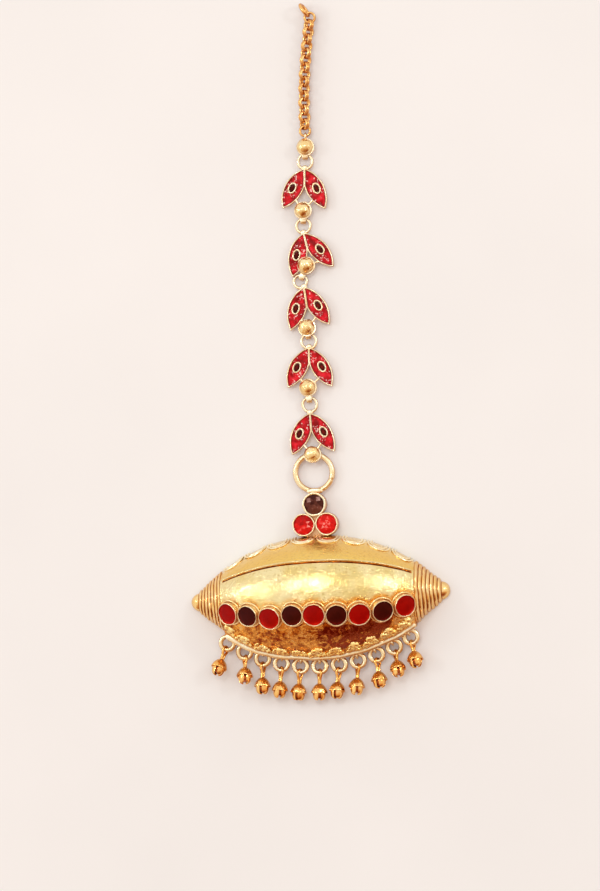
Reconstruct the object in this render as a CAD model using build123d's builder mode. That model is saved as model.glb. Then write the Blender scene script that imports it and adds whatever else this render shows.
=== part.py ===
from build123d import *
from math import atan, cos, degrees, radians, sin, sqrt, tan
import os

# A maang tikka lying on its back. X runs to the right, Y up towards the chain end,
# Z up out of the surface it lies on. Millimetres.

# ---- Gaps ----
fit_gap = 0.03  # between a stone or enamel and its cup

# ---- Pendant: half-round barrel lying along its own X axis ----
pendant_centre = (0.0, -56.73)
pendant_turn = 2.9
barrel_radius = 14.1
outline_radius = 38.6
barrel_half = 22.5
cone_end = 28.2
cone_end_radius = 2.1
tip_half = 30.1
tip_arc_turn = 40.0
rib_count = 7
rib_height = 0.3
wall = 0.7
cavity_half = 21.7
outline_drop = outline_radius - barrel_radius
barrel_end_radius = sqrt(outline_radius**2 - barrel_half**2) - outline_drop

# Seam: a raised edge with a groove under it, and the ends of the front panel
seam_angle = 36.0
seam_half = 21.6
seam_proud = 0.22
seam_depth = 0.3
seam_edge_turn = 1.3
seam_groove_turn = 1.2
seam_open = 1.0  # how far the groove's cutter reaches past the surface
panel_foot_around = -78.0
panel_edge_width = 0.35
panel_edge_proud = 0.2

# Scallops along the top edge
scallop_count = 8
scallop_pitch = 8.7
scallop_around = 77.0
scallop_radius = 2.75
scallop_wire = 0.38
scallop_line_gap = 0.36
scallop_proud = 0.28
scallop_half = 22.2
scallop_start = 0.3
scallop_cut = 1.4

# Rim wire along the bottom edge, with loops for the fringe
rim_height = 2.85
rim_lift = 0.2
rim_wire = 1.0
rim_half = 21.9
loop_radius = 0.75
loop_wire = 0.5
loop_height = 1.5

# ---- Row of smooth stones on the barrel ----
# one row for each cup, red and black by turns from the left: angle along the barrel
# and angle round it
row_table = [
    (-31.3, -18.5),
    (-23.4, -18.0),
    (-15.4, -19.0),
    (-7.4, -15.8),
    (-0.1, -16.1),
    (7.4, -17.6),
    (15.0, -19.2),
    (23.0, -19.8),
    (31.0, -18.8),
]
cup_radius = 2.6
cup_height = 1.35
cup_root = 1.2
cup_wall = 0.36
cup_floor = 0.15
row_stone_dome = 0.35
row_stone_below_lip = 0.12

# ---- Cluster of three cups and the large ring ----
cluster_x = -0.1
cluster_red_y = 16.6
cluster_pitch = 5.35
cluster_red_radius = 2.65
cluster_black_radius = 2.78
cluster_bottom = 0.3
cluster_top = 3.3
cluster_floor = 1.5
cluster_wall = 0.42
cluster_plate_top = 1.6
cluster_plate_margin = 0.6
facet_count = 8
facet_turn = 11.0
facet_table = 0.5
facet_rise = 0.55
big_ring_mean = 4.23
big_ring_wire = 1.25
big_ring_height = 0.95
big_ring_centre = (-1.45, -28.18)

# ---- Fringe ----
drop_pitch = 6.33
fringe_turn = -1.1  # of the row of drops round the outline's centre
ring_mean = 1.5
ring_wire = 0.8
ring_offset = 2.1
bell_radius = 1.85
bell_reach = 4.1
bell_top = 1.95
bell_bowl = 1.62
bell_lip_at = 0.15
bell_lip = 0.3
bell_hollow = 1.2
bell_shoulder = (-1.35, 1.3)
slit_width = 0.42
slit_depth = 1.25
slit_turn = 45.0
bell_loop_mean = 0.9
bell_loop_wire = 0.5
bell_loop_seat = 1.5
bell_loop_gap = 0.15

# one row for each drop: ring droop, bell swing from straight down, bell tilt up, loop twist
drop_table = [
    (6.0, -21.0, 18.0, 30.0),
    (7.0, -1.0, 22.0, -32.0),
    (5.0, -3.0, 11.0, 25.0),
    (2.0, -6.0, 7.0, -34.0),
    (-3.0, -7.0, 3.0, 33.0),
    (-6.0, -4.0, 1.0, -30.0),
    (3.0, -7.0, 9.0, 34.0),
    (4.0, -5.0, 11.0, -28.0),
    (5.0, 4.0, 13.0, 32.0),
    (7.0, 8.0, 22.0, -33.0),
    (6.0, 9.0, 17.0, 27.0),
]

# ---- Leaf links ----
leaf_length = 10.5
leaf_width = 4.3
leaf_rim = 0.36
leaf_bottom = 0.35
leaf_floor = 0.75
leaf_top = 1.5
enamel_top = 1.36
ridge_width = 0.55
eye_spot = (5.37, 0.33)  # along and across the leaf
eye_lean = -3.5  # from the leaf's own lean
eye_outer = (0.95, 1.4)
eye_inner = (0.64, 1.06)
eye_top = 1.62
eye_stone_top = 1.58
eye_stone_round = 0.2
link_ring_wire = 0.66
link_ring_height = 0.85
bridge_radius = 0.7
bridge_height = 0.5
bridge_y = 0.05
bead_disc = 2.08
bead_disc_height = 0.4
bead_dome = 1.84
prong_radius = 0.34
prong_height = 1.25
prong_root = (7.35, -1.65)  # along and across the leaf
prong_reach = 1.75
prong_rise = 0.35
strap_width = 1.2
strap_wall = 0.25
strap_play = 0.12
strap_slack = 0.6
big_strap_slack = 1.1

# one row for each link: apex x, apex y, turn, splay of the leaves, ring dx, ring dy,
# ring mean radius, bead dx, bead dy, bead height, bead tilt
link_table = [
    (-3.55, 42.07, -1.0, 28.1, 0.0, 1.55, 1.65, -0.2, -9.74, 1.3, 0.0),
    (-3.81, 27.17, 13.7, 27.9, 0.3, 1.6, 1.62, -1.15, -7.5, 1.45, 0.0),
    (-3.72, 14.67, 8.5, 25.7, -0.68, 1.4, 1.5, -0.65, -9.5, 1.3, -10.0),
    (-2.58, 0.7, 1.6, 29.2, 0.0, 1.43, 1.68, -0.42, -9.27, 1.3, 0.0),
    (-2.35, -14.43, 4.8, 27.9, 0.1, 1.9, 1.65, -0.08, -9.74, 1.75, -25.0),
]

# ---- Top bead, chain and end ring ----
top_bead_centre = (-3.35, 46.97, 1.3)
eyelet_mean = 0.72
eyelet_wire = 0.5
eyelet_reach = 2.45
eyelet_height = 1.35
chain_diameter = 2.3
chain_route = [
    (-3.46, 50.57, 1.35),
    (-3.75, 57.07, 1.4),
    (-3.6, 64.07, 1.4),
    (-3.05, 71.07, 1.45),
    (-2.42, 76.47, 1.6),
]
route_arc_share = 0.45
end_ring_mean = 1.52
end_ring_wire = 0.85
end_ring_centre = (-3.55, 78.57, 2.0)
end_ring_lean = 35.5
end_ring_tip = 82.0

z_up = Vector(0, 0, 1)
os.makedirs("parts", exist_ok=True)


def save(part, label):
    """Labels a finished piece and writes it."""
    part.label = label
    export_step(part, f"parts/{label}.step")


def flat_plane(x, y, z, turn):
    """A level plane at a point, turned about Z."""
    return Plane(origin=(x, y, z), x_dir=Vector(1, 0, 0).rotate(Axis.Z, turn), z_dir=z_up)


def rod(start, end, radius):
    """A straight round bar between two points, in the part being built."""
    with BuildSketch(Plane(origin=start, z_dir=end - start)) as section:
        Circle(radius)
    extrude(section.sketch, amount=(end - start).length)


# ==== Pendant ====
pendant_plane = flat_plane(*pendant_centre, 0, pendant_turn)
pendant_axis = Axis(pendant_plane.origin, pendant_plane.x_dir)


def on_pendant(x, y, z=0.0):
    """A point given in the pendant's own X, Y and Z."""
    return pendant_plane.from_local_coords(Vector(x, y, z))


def pendant_direction(x, y, z):
    return on_pendant(x, y, z) - pendant_plane.origin


def meridian_plane(around):
    """The plane through the barrel's axis, whose Y points out of the barrel."""
    outward = pendant_direction(0, sin(radians(around)), cos(radians(around)))
    return Plane(
        origin=pendant_plane.origin,
        x_dir=pendant_plane.x_dir,
        z_dir=pendant_plane.x_dir.cross(outward),
    )


def barrel_plane(along, around, lift=0.0):
    """The plane tangent to the barrel, with its X along the barrel and Z outwards."""
    flat = meridian_plane(around)
    spot = Vector(
        outline_radius * sin(radians(along)),
        outline_radius * cos(radians(along)) - outline_drop,
        0,
    )
    outward = Vector(sin(radians(along)), cos(radians(along)), 0)
    tangent = Vector(cos(radians(along)), -sin(radians(along)), 0)
    origin = flat.from_local_coords(spot + outward * lift)
    centre = flat.origin
    return Plane(
        origin=origin,
        x_dir=flat.from_local_coords(tangent) - centre,
        z_dir=flat.from_local_coords(outward) - centre,
    )


def outline_height(x, lift=0.0):
    """The barrel's radius at a distance from its middle."""
    return sqrt((outline_radius + lift) ** 2 - x**2) - outline_drop


def ring_band(half, inner_lift, outer_lift):
    """A strip between two lifts of the barrel's outline, in the current sketch."""
    with BuildLine() as outline:
        ThreePointArc(
            (-half, outline_height(half, outer_lift)),
            (0, outline_height(0, outer_lift)),
            (half, outline_height(half, outer_lift)),
        )
        Line((half, outline_height(half, outer_lift)), (half, outline_height(half, inner_lift)))
        ThreePointArc(
            (half, outline_height(half, inner_lift)),
            (0, outline_height(0, inner_lift)),
            (-half, outline_height(half, inner_lift)),
        )
        Line((-half, outline_height(half, inner_lift)), (-half, outline_height(half, outer_lift)))
    make_face(outline.edges())


def rib_lines(side):
    """The ribbed cone and the rounded tip on one side of the outline, in the current line."""
    run = (cone_end - barrel_half) / rib_count
    fall = (barrel_end_radius - cone_end_radius) / rib_count
    slant = sqrt(run**2 + fall**2)
    for rib in range(rib_count):
        x = barrel_half + rib * run
        y = barrel_end_radius - rib * fall
        crest_x = x + run / 2 + rib_height * fall / slant
        crest_y = y - fall / 2 + rib_height * run / slant
        ThreePointArc((side * x, y), (side * crest_x, crest_y), (side * (x + run), y - fall))
    tip_centre = (tip_half**2 - cone_end**2 - cone_end_radius**2) / (2 * (tip_half - cone_end))
    tip_radius = tip_half - tip_centre
    tip_x = tip_centre + tip_radius * cos(radians(tip_arc_turn))
    tip_y = tip_radius * sin(radians(tip_arc_turn))
    ThreePointArc((side * cone_end, cone_end_radius), (side * tip_x, tip_y), (side * tip_half, 0))


with BuildPart() as cavity:
    with BuildSketch(pendant_plane):
        with BuildLine():
            ThreePointArc(
                (-cavity_half, outline_height(cavity_half, -wall)),
                (0, barrel_radius - wall),
                (cavity_half, outline_height(cavity_half, -wall)),
            )
            Polyline(
                (cavity_half, outline_height(cavity_half, -wall)),
                (cavity_half, 0),
                (-cavity_half, 0),
                (-cavity_half, outline_height(cavity_half, -wall)),
            )
        make_face()
    revolve(axis=pendant_axis, revolution_arc=180)
    split(bisect_by=Plane.XY.offset(wall), keep=Keep.TOP)

with BuildPart() as scallops:
    for index in range(scallop_count):
        along = (index - (scallop_count - 1) / 2) * scallop_pitch
        with BuildSketch(barrel_plane(along, scallop_around, scallop_proud + scallop_start)):
            for outer in (scallop_radius, scallop_radius - scallop_wire - scallop_line_gap):
                inner = outer - scallop_wire
                Circle(outer)
                Rectangle(2 * outer, 2 * outer, align=(Align.CENTER, Align.MIN))
                Circle(inner, mode=Mode.SUBTRACT)
                Rectangle(2 * inner, 3 * outer, align=(Align.CENTER, Align.MIN), mode=Mode.SUBTRACT)
        extrude(amount=-scallop_cut)
    with BuildSketch(pendant_plane):
        with BuildLine():
            ThreePointArc(
                (-scallop_half, outline_height(scallop_half, scallop_proud)),
                (0, barrel_radius + scallop_proud),
                (scallop_half, outline_height(scallop_half, scallop_proud)),
            )
            Polyline(
                (scallop_half, outline_height(scallop_half, scallop_proud)),
                (scallop_half, 0),
                (-scallop_half, 0),
                (-scallop_half, outline_height(scallop_half, scallop_proud)),
            )
        make_face()
    revolve(axis=pendant_axis, revolution_arc=180, mode=Mode.INTERSECT)


cluster_rise = sqrt(cluster_pitch**2 - (cluster_pitch / 2) ** 2)
cluster_cups = {
    "left": (cluster_x - cluster_pitch / 2, cluster_red_y, cluster_red_radius),
    "right": (cluster_x + cluster_pitch / 2, cluster_red_y, cluster_red_radius),
    "top": (cluster_x, cluster_red_y + cluster_rise, cluster_black_radius),
}


def drop_outward(index):
    """The level direction straight out of the barrel's edge at one drop."""
    along = (index - (len(drop_table) - 1) / 2) * drop_pitch + fringe_turn
    return pendant_direction(sin(radians(along)), -cos(radians(along)), 0)


def drop_root(index):
    """The centre of the rim loop that carries one drop."""
    arc_centre = on_pendant(0, outline_drop, loop_height)
    return arc_centre + drop_outward(index) * (outline_radius + ring_offset - ring_mean)


with BuildPart() as pendant:
    with BuildSketch(pendant_plane):
        with BuildLine():
            ThreePointArc(
                (-barrel_half, barrel_end_radius),
                (0, barrel_radius),
                (barrel_half, barrel_end_radius),
            )
            rib_lines(1)
            rib_lines(-1)
            Line((-tip_half, 0), (tip_half, 0))
        make_face()
    revolve(axis=pendant_axis, revolution_arc=180)

    # seam: groove first, then the raised edge above it
    with BuildSketch(meridian_plane(seam_angle)):
        ring_band(seam_half, -seam_depth, seam_open)
    revolve(axis=pendant_axis, revolution_arc=seam_groove_turn, mode=Mode.SUBTRACT)
    with BuildSketch(meridian_plane(seam_angle + seam_edge_turn)):
        ring_band(seam_half, -wall / 2, seam_proud)
    revolve(axis=pendant_axis, revolution_arc=seam_edge_turn)

    # the raised ends of the front panel run from the seam down to the rim
    for side in (-1, 1):
        edge_x = side * (barrel_half - panel_edge_width)
        with BuildSketch(meridian_plane(seam_angle)):
            with Locations((edge_x, outline_height(edge_x))):
                Rectangle(panel_edge_width, 2 * panel_edge_proud)
        revolve(axis=pendant_axis, revolution_arc=seam_angle - panel_foot_around)

    add(scallops.part)

    # row of cups
    for along, around in row_table:
        with BuildSketch(barrel_plane(along, around, -cup_root)):
            Circle(cup_radius)
        extrude(amount=cup_root + cup_height)
    for along, around in row_table:
        with BuildSketch(barrel_plane(along, around, cup_floor)):
            Circle(cup_radius - cup_wall)
        extrude(amount=cup_height, mode=Mode.SUBTRACT)

    # rim wire, level along the bottom edge, and its loops
    rim_middle = sqrt(barrel_radius**2 - rim_height**2) + rim_lift
    rim_side = sqrt(outline_height(rim_half) ** 2 - rim_height**2) + rim_lift
    with BuildLine(pendant_plane.offset(rim_height)) as rim_path:
        ThreePointArc((-rim_half, -rim_side), (0, -rim_middle), (rim_half, -rim_side))
    with BuildSketch(Plane(origin=rim_path.line @ 0, z_dir=rim_path.line % 0)):
        Circle(rim_wire / 2)
    sweep(path=rim_path.line)
    for index in range(len(drop_table)):
        across = drop_outward(index).cross(z_up)
        with Locations(Plane(origin=drop_root(index), x_dir=z_up, z_dir=across)):
            Torus(loop_radius, loop_wire / 2)

    # cluster cups on their back plate, and the large ring
    plate_foot = cluster_red_y - cluster_red_radius - cluster_plate_margin
    with BuildSketch(pendant_plane.offset(cluster_bottom)):
        with BuildLine():
            Polyline(
                (cluster_x - cluster_pitch / 2, plate_foot),
                (cluster_x + cluster_pitch / 2, plate_foot),
                (cluster_x + cluster_pitch / 2, cluster_red_y),
                (cluster_x, cluster_red_y + cluster_rise),
                (cluster_x - cluster_pitch / 2, cluster_red_y),
                close=True,
            )
        make_face()
    extrude(amount=cluster_plate_top - cluster_bottom)
    for x, y, radius in cluster_cups.values():
        with BuildSketch(pendant_plane.offset(cluster_bottom)):
            with Locations((x, y)):
                Circle(radius)
        extrude(amount=cluster_top - cluster_bottom)
    for x, y, radius in cluster_cups.values():
        with BuildSketch(pendant_plane.offset(cluster_floor)):
            with Locations((x, y)):
                Circle(radius - cluster_wall)
        extrude(amount=cluster_top, mode=Mode.SUBTRACT)
    with Locations(Plane.XY.offset(big_ring_height)):
        with Locations(big_ring_centre):
            Torus(big_ring_mean, big_ring_wire / 2)

    add(cavity.part, mode=Mode.SUBTRACT)

save(pendant.part, "pendant")

# ==== Stones ====
for index, (along, around) in enumerate(row_table):
    stone_radius = cup_radius - cup_wall - fit_gap
    stone_plane = barrel_plane(along, around, cup_floor + fit_gap)
    girdle = cup_height - row_stone_below_lip - cup_floor - fit_gap - row_stone_dome / 2
    dome_radius = (stone_radius**2 + row_stone_dome**2) / (2 * row_stone_dome)
    section_plane = Plane(
        origin=stone_plane.origin,
        x_dir=stone_plane.x_dir,
        z_dir=-stone_plane.y_dir,
    )
    with BuildPart() as row_stone:
        with BuildSketch(section_plane):
            with BuildLine():
                Polyline((0, girdle + row_stone_dome), (0, 0), (stone_radius, 0), (stone_radius, girdle))
                RadiusArc((stone_radius, girdle), (0, girdle + row_stone_dome), -dome_radius)
            make_face()
        revolve(axis=Axis(stone_plane.origin, stone_plane.z_dir))
    save(row_stone.part, f"row_stone_{index + 1}")

for name, (x, y, radius) in cluster_cups.items():
    stone_radius = radius - cluster_wall - fit_gap
    girdle = cluster_top - cluster_floor - facet_rise / 2
    with BuildPart() as cluster_stone:
        with BuildSketch(pendant_plane.offset(cluster_floor + fit_gap)):
            with Locations((x, y)):
                Circle(stone_radius)
        extrude(amount=girdle + facet_rise)
        # crown facets: flat cuts that slope up from the girdle to the table
        slope = degrees(atan(facet_rise / (stone_radius * (1 - facet_table))))
        for facet in range(facet_count):
            turn = facet * 360 / facet_count + facet_turn
            outward = pendant_direction(cos(radians(turn)), sin(radians(turn)), 0)
            tilt_axis = Axis((0, 0, 0), z_up.cross(outward))
            normal = z_up.rotate(tilt_axis, slope)
            foot = on_pendant(x, y, cluster_floor + fit_gap + girdle) + outward * stone_radius
            split(bisect_by=Plane(origin=foot, z_dir=normal), keep=Keep.BOTTOM)
    save(cluster_stone.part, f"cluster_stone_{name}")

# ==== Fringe ====
for index, (droop, swing, tilt, twist) in enumerate(drop_table):
    outward = drop_outward(index)
    across = outward.cross(z_up)
    ring_out = outward.rotate(Axis((0, 0, 0), across), -droop)
    ring_centre = drop_root(index) + ring_out * ring_mean
    ring_normal = ring_out.cross(across)
    with BuildPart() as jump_ring:
        with Locations(Plane(origin=ring_centre, x_dir=ring_out, z_dir=ring_normal)):
            Torus(ring_mean, ring_wire / 2)
    save(jump_ring.part, f"jump_ring_{index + 1}")

    level = pendant_direction(sin(radians(swing)), -cos(radians(swing)), 0)
    bell_side = level.cross(z_up)
    bell_out = level.rotate(Axis((0, 0, 0), bell_side), tilt)
    # where the ring's wire passes through the bell's own loop
    ring_side = ring_normal.cross(ring_out)
    away = (ring_out * level.dot(outward) + ring_side * level.dot(ring_side)).normalized()
    bell_centre = ring_centre + away * ring_mean + bell_out * bell_reach
    section_plane = Plane(origin=bell_centre, x_dir=bell_out, z_dir=bell_side)
    loop_plane = Plane(
        origin=bell_centre,
        x_dir=-bell_out,
        z_dir=bell_side.rotate(Axis((0, 0, 0), bell_out), twist),
    )
    with BuildPart() as bell:
        with BuildSketch(section_plane):
            with BuildLine():
                ThreePointArc((-bell_top, 0), bell_shoulder, (bell_lip_at - bell_lip, bell_radius))
                Polyline(
                    (bell_lip_at - bell_lip, bell_radius),
                    (bell_lip_at, bell_radius),
                    (bell_lip_at, bell_bowl),
                )
                ThreePointArc(
                    (bell_lip_at, bell_bowl),
                    (bell_lip_at + bell_bowl * cos(radians(45)), bell_bowl * sin(radians(45))),
                    (bell_lip_at + bell_bowl, 0),
                )
                Line((bell_lip_at + bell_bowl, 0), (bell_hollow, 0))
                ThreePointArc((bell_hollow, 0), (0, bell_hollow), (-bell_hollow, 0))
                Line((-bell_hollow, 0), (-bell_top, 0))
            make_face()
        revolve(axis=Axis(bell_centre, bell_out))
        hole_x = bell_reach + bell_loop_gap + ring_wire / 2 - (bell_loop_mean - bell_loop_wire / 2)
        with BuildLine(loop_plane) as loop_path:
            Line((bell_loop_seat, -bell_loop_mean), (hole_x, -bell_loop_mean))
            ThreePointArc(
                (hole_x, -bell_loop_mean),
                (hole_x + bell_loop_mean, 0),
                (hole_x, bell_loop_mean),
            )
            Line((hole_x, bell_loop_mean), (bell_loop_seat, bell_loop_mean))
        with BuildSketch(Plane(origin=loop_path.wire() @ 0, z_dir=loop_path.wire() % 0)):
            Circle(bell_loop_wire / 2)
        sweep(path=loop_path.wire())
        slit_plane = Plane(
            origin=bell_centre + bell_out * (bell_lip_at + bell_bowl),
            x_dir=bell_side.rotate(Axis((0, 0, 0), bell_out), slit_turn + twist / 2),
            z_dir=-bell_out,
        )
        with BuildSketch(slit_plane):
            Rectangle(slit_width, 4 * bell_bowl)
            Rectangle(4 * bell_bowl, slit_width)
        extrude(amount=slit_depth, mode=Mode.SUBTRACT)
    save(bell.part, f"bell_{index + 1}")


# ==== Leaf links ====
def leaf_point(side, splay, along, across):
    """A point on one leaf, in its link's own X and Y. The leaves hang either side of -Y."""
    turn = radians(splay)
    return (
        side * (along * sin(turn) + across * cos(turn)),
        -along * cos(turn) + across * sin(turn),
    )


def leaf_face(side, splay, inset):
    """The pointed oval of a leaf, drawn in from its edge, in the current sketch."""
    arc = (leaf_length**2 + leaf_width**2) / (4 * leaf_width)
    half = sqrt((arc - inset) ** 2 - (arc - leaf_width / 2) ** 2)
    middle = leaf_length / 2
    bulge = leaf_width / 2 - inset
    with BuildLine() as outline:
        for edge in (1, -1):
            ThreePointArc(
                leaf_point(side, splay, middle - edge * half, 0),
                leaf_point(side, splay, middle, edge * bulge),
                leaf_point(side, splay, middle + edge * half, 0),
            )
    make_face(outline.edges())


def cup_face(side, splay, grow):
    """The enamelled area of one leaf: inside the rim, off the ridge and round the eye."""
    leaf_face(side, splay, leaf_rim - grow)
    with Locations((side * (ridge_width / 2 - grow), 0)):
        Rectangle(
            leaf_length,
            4 * leaf_length,
            align=(Align.MAX if side > 0 else Align.MIN, Align.CENTER),
            mode=Mode.SUBTRACT,
        )
    eye_face(side, splay, eye_outer, -grow, mode=Mode.SUBTRACT)


def eye_face(side, splay, size, grow, mode=Mode.ADD):
    """An oval at the eye of one leaf."""
    with Locations(leaf_point(side, splay, *eye_spot)):
        Ellipse(size[0] + grow, size[1] + grow, rotation=side * (splay + eye_lean), mode=mode)


def ring_spot(index):
    """The centre and mean radius of the ring that a link's strap goes round."""
    if index == len(link_table):
        return Vector(*big_ring_centre, big_ring_height), big_ring_mean, big_ring_wire
    x, y, turn, _, ring_dx, ring_dy, ring_radius = link_table[index][:7]
    link = flat_plane(x, y, link_ring_height, turn)
    return link.from_local_coords(Vector(ring_dx, ring_dy, 0)), ring_radius, link_ring_wire


def strap(bead_spot, ring_index):
    """The flat loop that ties a bead to the next ring's wire, in the part being built."""
    centre, mean, wire = ring_spot(ring_index)
    pull = (centre - Vector(bead_spot.X, bead_spot.Y, centre.Z)).normalized()
    height = wire + 2 * strap_play
    slack = big_strap_slack if ring_index == len(link_table) else strap_slack
    reach = centre - pull * (mean - (slack / 2 - strap_play))
    with BuildSketch(Plane(origin=reach, x_dir=pull, z_dir=pull.cross(z_up))) as section:
        SlotOverall(height + slack + 2 * strap_wall, height + 2 * strap_wall)
        SlotOverall(height + slack, height, mode=Mode.SUBTRACT)
    extrude(section.sketch, amount=strap_width / 2, both=True)


def bead(spot, tilt):
    """A dome on its disc, in the part being built."""
    back = Plane(origin=spot, x_dir=(1, 0, 0), z_dir=z_up.rotate(Axis.X, tilt))
    with BuildSketch(back) as disc:
        Circle(bead_disc)
    extrude(disc.sketch, amount=bead_disc_height)
    with Locations(back.offset(bead_disc_height)):
        Sphere(bead_dome, arc_size1=0, align=(Align.CENTER, Align.CENTER, Align.MIN))


for index, row in enumerate(link_table):
    x, y, turn, splay, ring_dx, ring_dy, ring_radius = row[:7]
    bead_dx, bead_dy, bead_height, bead_tilt = row[7:]
    link = flat_plane(x, y, 0, turn)
    bead_spot = link.from_local_coords(Vector(bead_dx, bead_dy, bead_height))
    with BuildPart() as leaf_link:
        for side in (-1, 1):
            with BuildSketch(link.offset(leaf_bottom)):
                leaf_face(side, splay, 0)
            extrude(amount=leaf_top - leaf_bottom)
        for side in (-1, 1):
            with BuildSketch(link.offset(leaf_floor)):
                cup_face(side, splay, 0)
            extrude(amount=leaf_top, mode=Mode.SUBTRACT)
            with BuildSketch(link.offset(leaf_floor)):
                eye_face(side, splay, eye_outer, 0)
            extrude(amount=eye_top - leaf_floor)
            with BuildSketch(link.offset(leaf_floor)):
                eye_face(side, splay, eye_inner, 0)
            extrude(amount=leaf_top, mode=Mode.SUBTRACT)
            prong_x, prong_y = leaf_point(side, splay, *prong_root)
            prong_start = link.from_local_coords(Vector(prong_x, prong_y, prong_height))
            prong_target = link.from_local_coords(Vector(bead_dx, bead_dy, prong_height + prong_rise))
            prong_way = prong_target - prong_start
            if prong_way.length > bead_disc:
                rod(prong_start, prong_start + prong_way.normalized() * prong_reach, prong_radius)
        with Locations(link.offset(link_ring_height)):
            with Locations((ring_dx, ring_dy)):
                Torus(ring_radius, link_ring_wire / 2)
        with BuildSketch(link.offset(link_ring_height - bridge_height / 2)):
            with Locations((0, bridge_y)):
                Circle(bridge_radius)
        extrude(amount=bridge_height)
        bead(bead_spot, bead_tilt)
        strap(bead_spot, index + 1)
    save(leaf_link.part, f"leaf_link_{index + 1}")

    for side, hand in ((-1, "left"), (1, "right")):
        with BuildPart() as enamel:
            with BuildSketch(link.offset(leaf_floor + fit_gap)):
                cup_face(side, splay, -fit_gap)
            extrude(amount=enamel_top - leaf_floor - fit_gap)
        save(enamel.part, f"enamel_{hand}_{index + 1}")

    with BuildPart() as eye_stones:
        for side in (-1, 1):
            with BuildSketch(link.offset(leaf_floor + fit_gap)):
                eye_face(side, splay, eye_inner, -fit_gap)
            extrude(amount=eye_stone_top - leaf_floor - fit_gap)
        fillet(eye_stones.faces().group_by(Axis.Z)[-1].edges(), radius=eye_stone_round)
    save(eye_stones.part, f"eye_stones_{index + 1}")

# ==== Top bead, chain and end ring ====
with BuildPart() as top_bead:
    top_spot = Vector(*top_bead_centre)
    bead(top_spot, 0)
    strap(top_spot, 0)
    eyelet_centre = Vector(top_spot.X, top_spot.Y + eyelet_reach, eyelet_height)
    with Locations(Plane(origin=eyelet_centre, x_dir=(0, 1, 0), z_dir=(1, 0, 0))):
        Torus(eyelet_mean, eyelet_wire / 2)
save(top_bead.part, "top_bead")

route = [Vector(*point) for point in chain_route]
route_radii = []
for before, corner, after in zip(route, route[1:], route[2:]):
    half_turn = radians((corner - before).get_angle(after - corner)) / 2
    shorter = min((corner - before).length, (after - corner).length)
    route_radii.append(route_arc_share * shorter / tan(half_turn))
print("chain arc radii", [round(radius, 1) for radius in route_radii])

with BuildPart() as chain:
    with BuildLine() as chain_path:
        FilletPolyline(*route, radius=route_radii)
    with BuildSketch(Plane(origin=chain_path.wire() @ 0, z_dir=chain_path.wire() % 0)):
        Circle(chain_diameter / 2)
    sweep(path=chain_path.wire())
print("chain length", round(chain_path.wire().length, 2), "volume", round(chain.part.volume, 2))
save(chain.part, "chain")

with BuildPart() as end_ring:
    lean = Vector(-sin(radians(end_ring_lean)), cos(radians(end_ring_lean)), 0)
    face = z_up.rotate(Axis((0, 0, 0), lean), end_ring_tip)
    with Locations(Plane(origin=end_ring_centre, x_dir=lean, z_dir=face)):
        Torus(end_ring_mean, end_ring_wire / 2)
save(end_ring.part, "end_ring")
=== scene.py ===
"""The looks of a maang tikka that lies on its back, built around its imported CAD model.

Shapes are worked out in millimetres in the CAD frame, and each mesh is written in metres.
"""

from math import acos, atan2, cos, degrees, pi, radians, sin, sqrt, tau

import bmesh
import bpy
import numpy as np
from mathutils import Matrix, Vector

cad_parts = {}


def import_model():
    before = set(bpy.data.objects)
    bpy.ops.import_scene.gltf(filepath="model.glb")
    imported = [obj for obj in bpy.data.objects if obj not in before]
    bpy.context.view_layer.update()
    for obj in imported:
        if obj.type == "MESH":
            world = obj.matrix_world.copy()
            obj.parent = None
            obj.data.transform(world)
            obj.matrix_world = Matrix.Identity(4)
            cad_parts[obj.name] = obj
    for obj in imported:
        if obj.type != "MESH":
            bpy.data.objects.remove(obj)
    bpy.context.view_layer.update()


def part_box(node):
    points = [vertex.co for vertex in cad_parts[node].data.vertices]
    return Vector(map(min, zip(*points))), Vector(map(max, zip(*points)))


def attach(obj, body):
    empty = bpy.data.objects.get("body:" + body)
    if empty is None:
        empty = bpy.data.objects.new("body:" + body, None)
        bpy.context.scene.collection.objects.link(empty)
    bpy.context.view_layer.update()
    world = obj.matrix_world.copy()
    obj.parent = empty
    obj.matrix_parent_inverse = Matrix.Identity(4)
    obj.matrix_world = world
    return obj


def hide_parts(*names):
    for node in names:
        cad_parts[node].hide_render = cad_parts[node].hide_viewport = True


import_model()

MM = 0.001
UP = np.array([0.0, 0.0, 1.0])

# ---- Driving sizes, as in the CAD model ----
# pendant
cluster_x = -0.1
cluster_red_y = 16.6
barrel_radius = 14.1
outline_radius = 38.6
outline_drop = outline_radius - barrel_radius
barrel_half = 22.5
cone_end = 28.2
cone_end_radius = 2.1
tip_half = 30.1
rib_count = 7
rib_height = 0.3
rim_height = 2.85
rim_half = 21.9
cluster_bottom = 0.3
cluster_top = 3.3
big_ring_centre = (-1.45, -28.18)
big_ring_mean = 4.23
big_ring_wire = 1.25
big_ring_height = 0.95
# one row for each cup of the row: angle along the barrel, angle round it
row_table = [
    (-31.3, -18.5),
    (-23.4, -18.0),
    (-15.4, -19.0),
    (-7.4, -15.8),
    (-0.1, -16.1),
    (7.4, -17.6),
    (15.0, -19.2),
    (23.0, -19.8),
    (31.0, -18.8),
]
cup_height = 1.35
# fringe
drop_pitch = 6.33
fringe_turn = -1.1
loop_height = 1.5
ring_mean = 1.5
ring_wire = 0.8
ring_offset = 2.1
bell_reach = 4.1
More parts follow.
